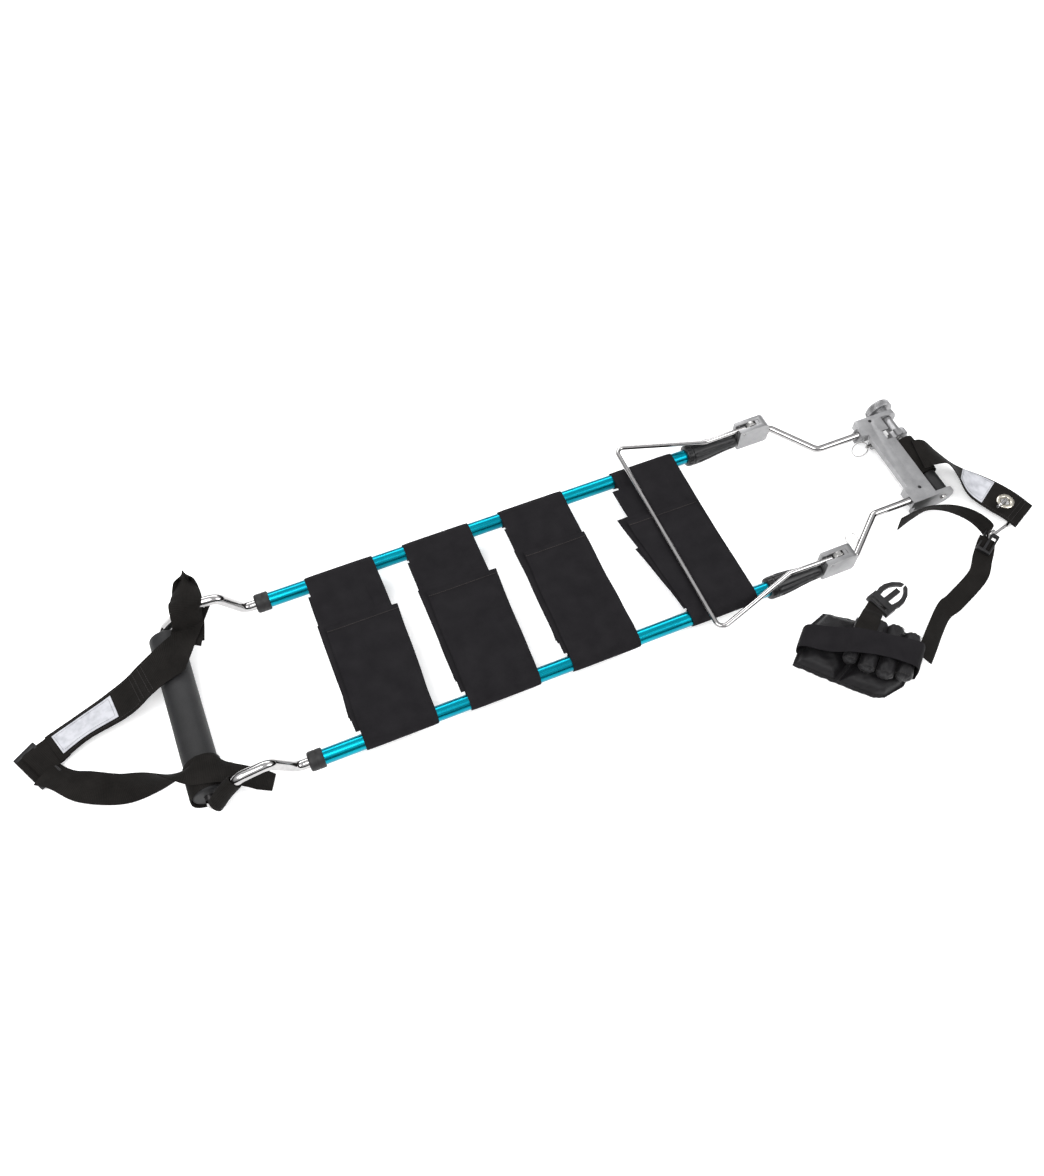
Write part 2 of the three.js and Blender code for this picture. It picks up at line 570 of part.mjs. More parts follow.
function tractionStrap() {
  const [gx, gy, gz] = GROMMET;
  const body = strap(TRACTION_STRAP, 48, 1.6, 84);
  const eyelet = barZ(8.6, gx, gy, [gz - 8, gz + 8], 20);
  place("traction_strap", shaped(body, [], [eyelet]), webbing());
  const rim = [[-1.2, 6], [-1.2, 8.2], [1.7, 8.2], [1.7, 11.5], [2.7, 11.5], [3.1, 8.5],
    [2.7, 6]];
  const profile = [...rim, rim[0]].map(([along, r]) => new THREE.Vector2(r, along));
  const grommet = new THREE.LatheGeometry(profile, 24).rotateX(Math.PI / 2);
  place("strap_grommet", grommet.translate(gx, gy, gz), chrome());
  const tag = strap(TRACTION_STRAP, 45, 0.7, 18, { from: 38 / 84, to: 56 / 84, lift: 1.5 });
  place("traction_label", tag, label());
}

// The hook comes up through the grommet, bends over its rim, and runs under the strap.
function sHook() {
  const [gx, gy, gz] = GROMMET;
  const [kx, ky] = KEEPER;
  const low = HOOK_R + 0.4;
  const corners = [
    [gx - 17, gy - 5, gz + 4], [gx - 14, gy - 4.5, gz + 7.5], [gx, gy, gz + 7.5],
    [gx, gy, low], [gx - 10, gy - 28, low], [kx - 10, ky + 1, low],
    [kx - 10, ky + 1, 18], [kx + 1, ky + 3.5, 18],
  ];
  const radii = [0, 3, 4, 4, 8, 5, 4, 0];
  place("s_hook", bent(corners, radii, HOOK_R, { sides: 10, stepsPerBend: 4 }), chrome());
}

const HITCH_AT = [648, -228];
const HITCH_TURN = THREE.MathUtils.degToRad(-46);
const HITCH_BAND = { a: [-72, 70], b: [-20, 14], z: [0.4, 43] };
const BAND_SKEW = THREE.MathUtils.degToRad(8); // the band lies a little askew round the pad
const PAD_OUTLINE = [[-62, -49], [-64, 12], [-54, 41], [38, 53], [60, 53], [61, 30], [64, -22],
  [38, -53], [-20, -51]];

// Pieces of the folded hitch are drawn along its own length and width, then turned.
const onHitch = (geometry) => geometry.rotateZ(HITCH_TURN).translate(...HITCH_AT, 0);

// A strap station seen from the hitch's own length, width and height.
function hitchPoint(a, b, z) {
  return new THREE.Vector3(a, b, z).applyAxisAngle(new THREE.Vector3(0, 0, 1), HITCH_TURN)
    .add(new THREE.Vector3(...HITCH_AT, 0)).toArray();
}

const rounded = ([x0, x1], [z0, z1], r) => {
  const outline = [];
  for (const [cx, cz, start] of [[x1 - r, z0 + r, -90], [x1 - r, z1 - r, 0],
    [x0 + r, z1 - r, 90], [x0 + r, z0 + r, 180]]) {
    for (let i = 0; i <= 3; i++) {
      const angle = THREE.MathUtils.degToRad(start + 30 * i);
      outline.push([cx + r * Math.cos(angle), cz + r * Math.sin(angle)]);
    }
  }
  return outline;
};

function ankleHitch() {
  const { a, b, z } = HITCH_BAND;
  place("ankle_pad", onHitch(plateXY(PAD_OUTLINE, [2.4, 17])), elastic());
  const humps = [];
  const humpR = 10.5;
  for (let i = 0; i < 4; i++) {
    for (let k = 0; k < 6; k++) {
      const angle = Math.PI * (1 - (k + 0.5) / 6);
      humps.push([humpR * (2 * i + 1 + Math.cos(angle)) - 20, 28 + humpR * Math.sin(angle)]);
    }
  }
  const rolls = [[-20, 17.6], [-20, 24], ...humps, [64, 24], [64, 17.6]];
  place("ankle_pad_rolls", onHitch(plateXZ(rolls, [-32, 40])), elastic());
  const bandOuter = plateXZ(rounded(a, z, 7), b);
  const bandInner = plateXZ(rounded([a[0] + 1.6, a[1] - 1.6], [z[0] + 1.6, z[1] - 1.6], 5.4),
    [b[0] - 1, b[1] + 1]);
  const band = shaped(bandOuter, [], [bandInner]).rotateZ(BAND_SKEW);
  place("hitch_band", onHitch(band), elastic());
  const tab = box([-13, 13], [54, 64], [14, 17]);
  place("buckle_tab", onHitch(tab), webbing());
  buckle();
  hitchStrap();
}

// Male half of a side-release buckle: a base with a webbing slot, two prongs and a tongue.
function buckle() {
  const base = box([-17, 17], [0, 16], [0, 7]);
  const prong = (s) => plateXY([[s * 15, 14], [s * 17.5, 23], [s * 17, 32], [s * 13, 42],
    [s * 6, 50], [s * 1, 52], [s * 1, 48], [s * 6, 43], [s * 10, 35], [s * 11, 26],
    [s * 9, 14]], [1, 6]);
  const tongue = box([-3.5, 3.5], [14, 40], [1.5, 5.5]);
  const slot = box([-13, 13], [3, 7], [-1, 8]);
  const piece = shaped(base, [prong(1), prong(-1), tongue], [slot]);
  piece.rotateZ(-0.5).translate(3, 61.5, 18);
  place("buckle_male", onHitch(piece), plastic());
}

function hitchStrap() {
  const [kx, ky] = KEEPER;
  const stations = [
    [hitchPoint(74, 18, 17), [-0.15, 0.15, 1]], [[770, -224, 13], [-0.55, 0.62, 0.5]],
    [[799, -213, 8], [-0.4, 0.9, 0.1]], [[848, -192, 6], [-0.6, 0.78, 0]],
    [[869, -172, 7], [-0.74, 0.66, 0]],
  ];
  place("hitch_strap", strap(stations, 25, 2.2, 24), webbing());
  const tail = [
    [[kx - 1, ky + 14, 15.5], [0.3, -0.1, 0.95]], [[kx - 9, ky + 34, 15], [0.25, -0.15, 0.95]],
    [[kx - 27, ky + 56, 14.5], [0.05, -0.2, 0.97]], [[kx - 52, ky + 68, 14], [-0.15, -0.3, 0.93]],
    [[kx - 78, ky + 67, 13.8], [-0.15, -0.1, 0.98]], [[kx - 104, ky + 62, 13.6], [-0.2, 0.05, 0.97]],
  ];
  place("hitch_strap_tail", strap(tail, 25, 1.6, 36), webbing());
  const frame = box([-17, 17], [-9.5, 9.5], [0, 5]);
  const slots = [-4.4, 4.4].map((y) => box([-13, 13], [y - 2.8, y + 2.8], [-1, 6]));
  const keeper = shaped(frame, [], slots).rotateX(0.1).rotateZ(0.55).translate(kx - 13, ky - 6, 9);
  place("strap_keeper", keeper, plastic());
}

// ---- the whole splint ---------------------------------------------------------------------

sideTubes();
ischialRing();
ischialStrap();
cradleBands();
lockGrips();
slideRods();
hingeBlocks();
heelStand();
winchBracket();
winchSpindle();
ratchetRelease();
tractionStrap();
sHook();
ankleHitch();

const extent = new THREE.Box3().setFromObject(splint);
const middle = extent.getCenter(new THREE.Vector3());
splint.position.set(-middle.x, -middle.y, -extent.min.z);
splint.updateMatrixWorld(true);

export default splint;
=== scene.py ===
"""Looks of an adult traction splint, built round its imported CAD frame.

Lengths in this script are millimetres until make() turns them into metres. X = 0 is the
winch side of the end collars, Y = 0 is midway between the side tubes, and Z = 0 is the floor.
"""
import json
import math

import bmesh
import bpy
import numpy as np
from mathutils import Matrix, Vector, noise

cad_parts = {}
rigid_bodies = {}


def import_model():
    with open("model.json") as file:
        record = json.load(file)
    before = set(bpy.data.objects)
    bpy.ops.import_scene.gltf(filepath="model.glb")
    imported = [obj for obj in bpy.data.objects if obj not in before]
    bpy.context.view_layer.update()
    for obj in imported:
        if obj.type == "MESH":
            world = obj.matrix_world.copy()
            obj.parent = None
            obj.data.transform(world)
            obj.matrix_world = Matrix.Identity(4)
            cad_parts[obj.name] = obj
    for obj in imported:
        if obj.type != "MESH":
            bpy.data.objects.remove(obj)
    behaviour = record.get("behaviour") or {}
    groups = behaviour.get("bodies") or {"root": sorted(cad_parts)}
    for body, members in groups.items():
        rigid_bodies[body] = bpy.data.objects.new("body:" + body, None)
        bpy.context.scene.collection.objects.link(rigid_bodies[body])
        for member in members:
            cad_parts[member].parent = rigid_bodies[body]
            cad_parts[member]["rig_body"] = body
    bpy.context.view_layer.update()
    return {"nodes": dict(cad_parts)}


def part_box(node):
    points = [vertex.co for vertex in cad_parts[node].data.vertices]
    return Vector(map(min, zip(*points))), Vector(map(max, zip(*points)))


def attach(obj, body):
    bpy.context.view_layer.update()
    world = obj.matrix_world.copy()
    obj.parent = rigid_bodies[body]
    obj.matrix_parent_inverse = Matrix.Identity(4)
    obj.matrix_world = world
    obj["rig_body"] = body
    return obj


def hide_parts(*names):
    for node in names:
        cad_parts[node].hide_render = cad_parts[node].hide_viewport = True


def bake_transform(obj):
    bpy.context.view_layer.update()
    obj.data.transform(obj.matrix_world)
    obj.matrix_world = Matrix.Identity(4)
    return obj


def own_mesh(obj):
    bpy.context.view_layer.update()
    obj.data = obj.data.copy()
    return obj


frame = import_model()

MM = 0.001
far_collar, near_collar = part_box("end_collar_far"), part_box("end_collar_near")
ORIGIN = np.array([far_collar[1].x, (far_collar[0].y + near_collar[1].y) / 2, 0])

AXIS_Z = 25
TUBE_Y = 113
TUBE_R = 9.5
SIDES = (("far", 1), ("near", -1))

# ---- camera, floor and light -----------------------------------------

EYE = (30, -631, 1190)
HEADING, PITCH = math.radians(22.7), math.radians(59.3)
LENS = 33.03


def metres(x, y, z):
    return Vector(ORIGIN + np.array([x, y, z]) * MM)


def aimed(name, data, place, ahead):
    """A camera or a lamp at a place, looking ahead."""
    thing = bpy.data.objects.new(name, data)
    thing.location = place
    thing.rotation_mode = "QUATERNION"
    thing.rotation_quaternion = ahead.to_track_quat("-Z", "Y")
    bpy.context.collection.objects.link(thing)
    return thing


def camera():
    data = bpy.data.cameras.new("camera")
    data.lens, data.sensor_width = LENS, 36
    level = math.cos(PITCH)
    ahead = Vector((math.sin(HEADING) * level, math.cos(HEADING) * level, -math.sin(PITCH)))
    bpy.context.scene.camera = aimed("camera", data, metres(*EYE), ahead)


def softbox(name, place, size, power):
    data = bpy.data.lights.new(name, "AREA")
    data.shape, data.size, data.size_y, data.energy = "RECTANGLE", *size, power
    aimed(name, data, place, -Vector(place))


def studio():
    world = bpy.data.worlds.new("studio")
    world.use_nodes = True
    bpy.context.scene.world = world
    tree = world.node_tree
    sky = tree.nodes["Background"]
    where = tree.nodes.new("ShaderNodeTexCoord")
    height = tree.nodes.new("ShaderNodeSeparateXYZ")
    ramp = tree.nodes.new("ShaderNodeValToRGB")
    dark, bright = ramp.color_ramp.elements
    dark.position, bright.position = 0.3, 0.62
    dark.color, bright.color = (0.012, 0.011, 0.011, 1), (0.95, 0.95, 0.96, 1)
    tree.links.new(where.outputs["Generated"], height.inputs[0])
    tree.links.new(height.outputs["Z"], ramp.inputs["Fac"])
    tree.links.new(ramp.outputs["Color"], sky.inputs["Color"])
    softbox("key", (-0.9, -0.5, 1.9), (1.6, 1.2), 40)
    softbox("fill", (1.5, -1.1, 1.6), (1.2, 1.2), 22)
    softbox("back", (0.4, 1.9, 1.5), (2.2, 0.7), 30)
    bpy.ops.mesh.primitive_plane_add(size=60, location=(0, 0, -0.0004))
    floor = bpy.context.object
    floor.name = "floor"
    paper = Look("paper", **{"Base Color": (0.93, 0.93, 0.93, 1), "Roughness": 0.9,
                             "Emission Color": (1, 1, 1, 1), "Emission Strength": 0.3})
    floor.data.materials.append(paper.material)
    bpy.context.scene.view_settings.view_transform = "Standard"


# ---- materials -------------------------------------------------------


class Look:
    """A principled material, with short ways to add the nodes that vary it."""

    def __init__(self, name, slot=None, **values):
        self.slot = slot
        self.material = bpy.data.materials.new(name)
        self.material.use_nodes = True
        self.tree = self.material.node_tree
        self.shader = self.tree.nodes["Principled BSDF"]
        for key, value in values.items():
            self.shader.inputs[key].default_value = value

    def node(self, kind, values=None, **settings):
        made = self.tree.nodes.new("ShaderNode" + kind)
        for key, value in settings.items():
            setattr(made, key, value)
        for key, value in (values or {}).items():
            if isinstance(value, bpy.types.NodeSocket):
                self.tree.links.new(value, made.inputs[key])
            else:
                made.inputs[key].default_value = value
        return made

    def coordinates(self, scale=(1, 1, 1), uv=False):
        where = self.node("TexCoord").outputs["UV" if uv else "Object"]
        return self.node("Mapping", {"Vector": where, "Scale": scale}).outputs["Vector"]

    def grain(self, size, detail=4, scale=(1, 1, 1)):
        """Noise whose grains are about `size` millimetres."""
        values = {"Vector": self.coordinates(scale), "Scale": 1 / (size * MM),
                  "Detail": detail, "Roughness": 0.55}
        return self.node("TexNoise", values).outputs["Fac"]

    def cells(self, size):
        values = {"Vector": self.coordinates(), "Scale": 1 / (size * MM)}
        return self.node("TexVoronoi", values).outputs["Distance"]

    def ribs(self, pitch, direction, uv=True):
        """Soft ridges `pitch` millimetres apart, across one direction of the surface."""
        values = {"Vector": self.coordinates(uv=uv), "Scale": math.pi / 10 / (pitch * MM),
                  "Detail": 2}
        return self.node("TexWave", values, bands_direction=direction).outputs["Fac"]

    def math(self, a, b, kind):
        return self.node("Math", {0: a, 1: b}, operation=kind).outputs[0]

    def product(self, a, b):
        return self.math(a, b, "MULTIPLY")

    def mix(self, a, b, share):
        """Two patterns added, the first weighing `share` of the whole."""
        return self.math(self.product(a, share), self.product(b, 1 - share), "ADD")

    def shine(self, level):
        self.shader.inputs["Specular IOR Level"].default_value = level

    def colour(self, fac, dark, light, low=0.3, high=0.7):
        ramp = self.node("ValToRGB", {"Fac": fac})
        ends = ramp.color_ramp.elements
        ends[0].position, ends[1].position = low, high
        ends[0].color, ends[1].color = (*dark, 1), (*light, 1)
        self.tree.links.new(ramp.outputs["Color"], self.shader.inputs["Base Color"])

    def roughness(self, fac, low, high):
        spread = self.node("MapRange", {"Value": fac, "To Min": low, "To Max": high})
        self.tree.links.new(spread.outputs[0], self.shader.inputs["Roughness"])

    def bump(self, *layers):
        """Each layer is (height, depth in millimetres, strength)."""
        below = None
        for height, depth, strength in layers:
            values = {"Height": height, "Distance": depth * MM, "Strength": strength}
            if below is not None:
                values["Normal"] = below
            below = self.node("Bump", values).outputs["Normal"]
        self.tree.links.new(below, self.shader.inputs["Normal"])
        return self


def anodised():
    look = Look("anodised_blue", "anodised_tube", Metallic=0.92, Roughness=0.26)
    drawn = look.grain(0.5, 3, (0.02, 1, 1))
    cloud = look.grain(60, 2)
    look.colour(look.mix(drawn, cloud, 0.3), (0.0, 0.175, 0.25), (0.0, 0.26, 0.335))
    look.roughness(drawn, 0.2, 0.34)
    return look.bump((drawn, 0.02, 0.25))


def chrome():
    look = Look("chrome", "chrome_steel", Metallic=1.0, Roughness=0.1)
    scuff = look.grain(7, 6)
    look.colour(scuff, (0.34, 0.333, 0.333), (0.43, 0.422, 0.422))
    look.roughness(scuff, 0.05, 0.16)
    return look.bump((look.grain(0.9, 3), 0.015, 0.15))


def plated(name, size, dark, light, low, high):
    """Dull plated metal, for springs, pins, latches and the eyelet."""
    look = Look(name, "chrome_steel", Metallic=1.0)
    scuff = look.grain(size, 5)
    look.colour(scuff, dark, light)
    look.roughness(scuff, low, high)
    return look.bump((scuff, 0.02, 0.2))


def casting():
    look = Look("cast_alloy", "cast_alloy", Metallic=0.8, Roughness=0.42)
    grit, cloud = look.grain(0.35, 4), look.grain(14, 4)
    look.colour(look.mix(grit, cloud, 0.45), (0.22, 0.22, 0.225), (0.35, 0.35, 0.355))
    look.roughness(grit, 0.3, 0.5)
    return look.bump((grit, 0.06, 0.5), (look.grain(3, 3), 0.06, 0.2))


def moulded(name, slot, dark, light, low, high, grit=(0.6, 5), depth=0.04, cloud=9, shine=0.28):
    """Rubber or plastic with a fine grain."""
    look = Look(name, slot)
    grit = look.grain(*grit)
    look.colour(look.grain(cloud, 3), dark, light)
    look.roughness(grit, low, high)
    look.shine(shine)
    return look.bump((grit, depth, 0.35))


def foam():
    look = Look("closed_cell_foam", "pad_foam", Roughness=0.7)
    cells, cloud = look.cells(0.7), look.grain(35, 3)
    look.colour(cloud, (0.008, 0.008, 0.0086), (0.015, 0.015, 0.016))
    look.roughness(cells, 0.5, 0.72)
    look.shader.inputs["Sheen Weight"].default_value = 0.02
    look.shine(0.3)
    return look.bump((cells, 0.05, 0.5), (look.grain(8, 3), 0.25, 0.25))


def fabric(name, slot, pitch, dark, light, uv=True, sheen=0.012, crease=0.5,
           shine=0.09, rough=(0.74, 0.95)):
    """A woven cloth: ribs both ways, colour that drifts, and soft creases."""
    look = Look(name, slot, Roughness=0.86)
    warp, weft = look.ribs(pitch, "X", uv), look.ribs(pitch * 0.8, "Y", uv)
    weave = look.product(warp, weft)
    fuzz = look.grain(1.5)
    look.colour(look.mix(look.grain(22), weave, 0.6), dark, light, 0.2, 0.75)
    look.roughness(fuzz, *rough)
    look.shader.inputs["Sheen Weight"].default_value = sheen
    look.shader.inputs["Sheen Roughness"].default_value = 0.45
    look.shine(shine)
    return look.bump((look.grain(16, 3), crease, 0.3), (weave, 0.16, 0.7), (fuzz, 0.06, 0.4))


def thread(name, dark, light):
    return fabric(name, "webbing", 0.4, dark, light, uv=False, crease=0.02)


def label_cloth():
    look = Look("label_satin", "sewn_label", Roughness=0.55)
    weave = look.product(look.ribs(0.45, "X"), look.ribs(0.45, "Y"))
    look.colour(look.grain(11, 4), (0.3, 0.305, 0.33), (0.45, 0.455, 0.485), 0.25, 0.6)
    look.roughness(look.grain(5, 3), 0.42, 0.66)
    return look.bump((weave, 0.05, 0.5), (look.grain(9, 3), 0.3, 0.3))


def nylon():
    look = Look("natural_nylon", "nylon", Roughness=0.45)
    look.colour(look.grain(6, 3), (0.66, 0.65, 0.6), (0.8, 0.79, 0.74))
    look.roughness(look.grain(2, 3), 0.38, 0.55)
    return look.bump((look.grain(0.8, 3), 0.03, 0.3))


LOOKS = {
    "anodised": anodised(), "chrome": chrome(), "casting": casting(), "foam": foam(),
    "label": label_cloth(), "nylon": nylon(),
    "zinc": plated("plated_steel", 1.5, (0.3, 0.295, 0.29), (0.48, 0.475, 0.465), 0.18, 0.38),
    "nickel": plated("nickel", 1.2, (0.38, 0.355, 0.3), (0.6, 0.57, 0.5), 0.14, 0.34),
    "collar": moulded("collar_rubber", "collar_rubber", (0.009, 0.0087, 0.009),
                      (0.016, 0.0153, 0.016), 0.45, 0.66),
    "grip": moulded("grip_rubber", "grip_rubber", (0.009, 0.009, 0.0095),
                    (0.017, 0.017, 0.018), 0.24, 0.42),
    "plastic": moulded("moulded_plastic", "black_plastic", (0.008, 0.008, 0.0085),
                       (0.017, 0.0165, 0.0175), 0.28, 0.46, (0.4, 3), 0.03, 12, 0.25),
    "band": fabric("elastic_cloth", "elastic_fabric", 1.1, (0.006, 0.0055, 0.0065),
                   (0.014, 0.013, 0.0145)),
    "webbing": fabric("ribbed_webbing", "webbing", 1.9, (0.004, 0.0036, 0.0032),
                      (0.014, 0.0125, 0.0115), crease=0.3),
    "nylon_cloth": fabric("packcloth", "elastic_fabric", 0.7, (0.003, 0.0027, 0.0033),
                          (0.008, 0.0074, 0.0085), uv=False, crease=1.1, sheen=0.02,
                          shine=0.22, rough=(0.36, 0.56)),
    "thread": thread("sewing_thread", (0.02, 0.019, 0.019), (0.06, 0.056, 0.055)),
    "hem_thread": thread("hem_thread", (0.03, 0.027, 0.026), (0.085, 0.077, 0.073)),
    "grey_thread": thread("label_thread", (0.12, 0.12, 0.125), (0.25, 0.25, 0.26)),
}

# ---- mesh tools ------------------------------------------------------


def make(name, shape, look, body, stands_for=(), uv=None, weld=True):
    """A piece from (points, faces), riding on a body if one is named, in place of a CAD node."""
    points, faces = shape
    mesh = bpy.data.meshes.new(name)
    co = ORIGIN + np.asarray(points, float) * MM
    mesh.from_pydata(co.tolist(), [], [list(f) for f in faces])
    if uv is not None:
        corner = np.zeros(len(mesh.loops), np.int32)
        mesh.loops.foreach_get("vertex_index", corner)
        layer = mesh.uv_layers.new(name="cloth")
        layer.data.foreach_set("uv", (np.asarray(uv, float) * MM)[corner].ravel())
    bm = bmesh.new()
    bm.from_mesh(mesh)
    if weld:
        bmesh.ops.remove_doubles(bm, verts=bm.verts, dist=2e-6)
    bmesh.ops.recalc_face_normals(bm, faces=bm.faces)
    bm.to_mesh(mesh)
    bm.free()
    return finish_piece(name, mesh, look, body, stands_for, 38)


def finish_piece(name, mesh, look, body, stands_for, sharp):
    mesh.shade_smooth()
    mesh.set_sharp_from_angle(angle=math.radians(sharp))
    mesh.materials.clear()
    mesh.materials.append(LOOKS[look].material)
    piece = bpy.data.objects.new(name, mesh)
    bpy.context.collection.objects.link(piece)
    if body:
        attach(piece, body)
    if stands_for:
        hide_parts(stands_for)
    return piece


def together(*shapes):
    """Several (points, faces) as one."""
    points, faces, start = [], [], 0
    for some, quads in shapes:
        points.append(np.asarray(some, float).reshape(-1, 3))
        faces += [tuple(start + i for i in f) for f in quads]
        start += len(points[-1])
    return np.concatenate(points), faces


def skin(rings, loop=False):
    """Quads between rings of points, and a flat cap at each end unless the ends join up."""
    n, m = len(rings), len(rings[0])
    faces = []
    for i in range(n if loop else n - 1):
        k = (i + 1) % n
        for j in range(m):
            l = (j + 1) % m
            faces.append((i * m + j, i * m + l, k * m + l, k * m + j))
    if not loop:
        faces.append(tuple(range(m))[::-1])
        faces.append(tuple(range((n - 1) * m, n * m)))
    return np.concatenate(rings), faces


def turned(profile, axis, centre, steps=96, ripple=None):
    """A ring turned round an axis: its closed profile is (distance along, radius) points.
    ripple(angle, along, radius) may change a point's radius."""
    rings = []
    for i in range(steps):
        angle = 2 * math.pi * i / steps
        ring = []
        for along, r in profile:
            r = ripple(angle, along, r) if ripple else r
            u, v = r * math.cos(angle), r * math.sin(angle)
            ring.append({"X": (along, u, v), "Y": (u, along, v), "Z": (u, v, along)}[axis])
        rings.append(np.array(ring) + np.array(centre))
    return skin(rings, loop=True)


def disc(r, axis, centre, span, steps=48, edge=0.4):
    """A solid round bar with softened ends."""
    end = [(0, 0), (0, r - edge), (edge * 0.3, r - edge * 0.3), (edge, r)]
    profile = [(span[0] + x, y) for x, y in end] + [(span[1] - x, y) for x, y in end[::-1]]
    return turned(profile, axis, centre, steps)


def bent_path(corners, radii, bend_steps=12):
    """Points along straight stretches joined by circular bends."""
    points = [np.array(c, float) for c in corners]
    path = [points[0]]
    for i in range(1, len(points) - 1):
        before, after = points[i] - points[i - 1], points[i + 1] - points[i]
        before, after = before / np.linalg.norm(before), after / np.linalg.norm(after)
        turn = math.acos(np.clip(before @ after, -1, 1))
        start = points[i] - before * radii[i] * math.tan(turn / 2)
        inward = after - before * (before @ after)
        inward /= np.linalg.norm(inward)
        for s in range(bend_steps + 1):
            angle = turn * s / bend_steps
            path.append(start + before * radii[i] * math.sin(angle)
                        + inward * radii[i] * (1 - math.cos(angle)))
    path.append(points[-1])
    return np.array(path)


def tangents(path):
    d = np.gradient(path, axis=0)
    return d / np.linalg.norm(d, axis=1)[:, None]


def tube(path, radius, sides=28, dome=0.0):
    """A round wire along a path. Its radius may vary, and its ends may be domed."""
    path = np.asarray(path, float)
    radii = np.broadcast_to(radius, len(path)).astype(float)
    if dome:
        ahead = tangents(path)
        swell = [(dome * math.cos(a), math.sin(a)) for a in np.linspace(0.25, 1.35, 4)]
        front = [path[0] - ahead[0] * out for out, _ in swell]
        back = [path[-1] + ahead[-1] * out for out, _ in swell[::-1]]
        path = np.concatenate([front, path, back])
        radii = np.concatenate([[radii[0] * k for _, k in swell], radii,
                                [radii[-1] * k for _, k in swell[::-1]]])
    ahead = tangents(path)
    across = np.cross(ahead[0], [0, 0, 1.0])
    if np.linalg.norm(across) < 0.1:
        across = np.cross(ahead[0], [0, 1.0, 0])
    rings = []
    for point, way, r in zip(path, ahead, radii):
        across = across - way * (across @ way)
        across /= np.linalg.norm(across)
        up = np.cross(way, across)
        rings.append([point + r * (across * math.cos(a) + up * math.sin(a))
                      for a in np.linspace(0, 2 * math.pi, sides, endpoint=False)])
    return skin(rings)


def lengths(line):
    """How far along a line each of its points is."""
    steps = np.linalg.norm(np.diff(line, axis=0), axis=1)
    return np.concatenate([[0], np.cumsum(steps)])


def places(t, run, line):
    """The points of a line at distances t, where run says how far along its own points are."""
    return np.stack([np.interp(t, run, line[:, k]) for k in range(line.shape[1])], axis=-1)


def sampled(points, count, closed=False):
    """An even number of places along a smooth curve through the points."""
    p = np.asarray(points, float)
    p = np.concatenate([p[-1:], p, p[:2]]) if closed else np.concatenate(
        [[2 * p[0] - p[1]], p, [2 * p[-1] - p[-2]]])
    fine = []
    for i in range(1, len(p) - 2):
        for t in np.linspace(0, 1, 24, endpoint=False):
            a, b, c, d = p[i - 1:i + 3]
            fine.append(0.5 * (2 * b + (c - a) * t + (2 * a - 5 * b + 4 * c - d) * t ** 2
                               + (3 * b - a - 3 * c + d) * t ** 3))
    fine.append(p[-2])
    return places(np.linspace(0, len(fine) - 1, count), np.arange(len(fine)), np.array(fine))


def ripple_noise(x, y, seed, size=30.0):
    return noise.noise(Vector((x / size, y / size, 7.3 * seed)))


def grid_normals(middle):
    n = np.cross(np.gradient(middle, axis=0), np.gradient(middle, axis=1))
    return n / np.maximum(np.linalg.norm(n, axis=2), 1e-9)[:, :, None]


def slab(middle, thick, loop=False):
    """Cloth round a grid of points halfway through it, thinner towards its selvedges, and
    its flat coordinates. The rows of a loop join up."""
    middle = np.asarray(middle, float)
    wide = np.concatenate([middle[-2:], middle, middle[:2]])
    up = grid_normals(wide)[2:-2] if loop else grid_normals(middle)
    rows, cols = middle.shape[:2]
    thin = np.sqrt(1 - 0.8 * np.abs(np.linspace(-1, 1, cols)) ** 8)
    half = np.broadcast_to(thick, (rows, cols)) / 2 * thin
    high, low = middle + up * half[:, :, None], middle - up * half[:, :, None]
    rings = [np.concatenate([high[i], low[i][::-1]]) for i in range(rows)]
    along, across = lengths(middle[:, cols // 2]), lengths(middle[0])
    flat = [(along[i], k) for i in range(rows) for k in np.concatenate([across, across[::-1]])]
    return skin(rings, loop), flat


def ribbon(stations, width, rows=90, cols=12, wave=0.4, seed=1, folds=None, skew=0.0):
    """The middle of a strap through stations of (centre, direction of the width). width may
    be a function of the share of the length. folds, in degrees, brings the selvedges together
    at each station, and skew slants the strap's first end."""
    folds = folds or [0] * len(stations)
    line = sampled([list(c) + list(w) + [f] for (c, w), f in zip(stations, folds)], rows)
    centre, across, fold = line[:, :3], line[:, 3:6], np.radians(line[:, 6])
    ahead = tangents(centre)
    across = across - ahead * (across * ahead).sum(1)[:, None]
    across /= np.linalg.norm(across, axis=1)[:, None]
    up = np.cross(ahead, across)
    run = lengths(centre)
    share = np.linspace(-0.5, 0.5, cols + 1)
    middle = np.zeros((rows, cols + 1, 3))
    for i in range(rows):
        w = width(i / (rows - 1)) if callable(width) else width
        slant = skew * max(0, 1 - run[i] / max(abs(skew) * w * 0.8, 1))
        for j, k in enumerate(share):
            rise = wave * ripple_noise(run[i], k * w, seed) - abs(k) * w * math.sin(fold[i])
            middle[i, j] = (centre[i] + across[i] * k * w * math.cos(fold[i]) + up[i] * rise
                            - ahead[i] * k * w * slant)
    return middle


def line_of(middle, rows, columns, above):
    """A line of the cloth's own points, raised off its middle, and the way it is raised."""
    up = grid_normals(middle)[rows, columns]
    return middle[rows, columns] + up * above, up * np.sign(above)


STITCHES = {}


def stitches(body, line, up, look="thread", pitch=3.4, length=2.5, r=0.33, lift=0.15):
    """Raised running stitches along a line; they are gathered into one piece per body."""
    line = np.asarray(line, float)
    run = lengths(line)
    up = np.broadcast_to(np.asarray(up, float), line.shape)
    for start in np.arange(pitch / 2, run[-1] - pitch / 2, pitch):
        t = np.linspace(start - length / 2, start + length / 2, 5)
        path, high = places(t, run, line), places(t, run, up)
        arch = np.array([-0.5, 0.7, 1, 0.7, -0.5])[:, None] * r
        STITCHES.setdefault((body, look), []).append(
            tube(path + high * (lift + arch), [r * 0.6, r, r, r, r * 0.6], sides=6))


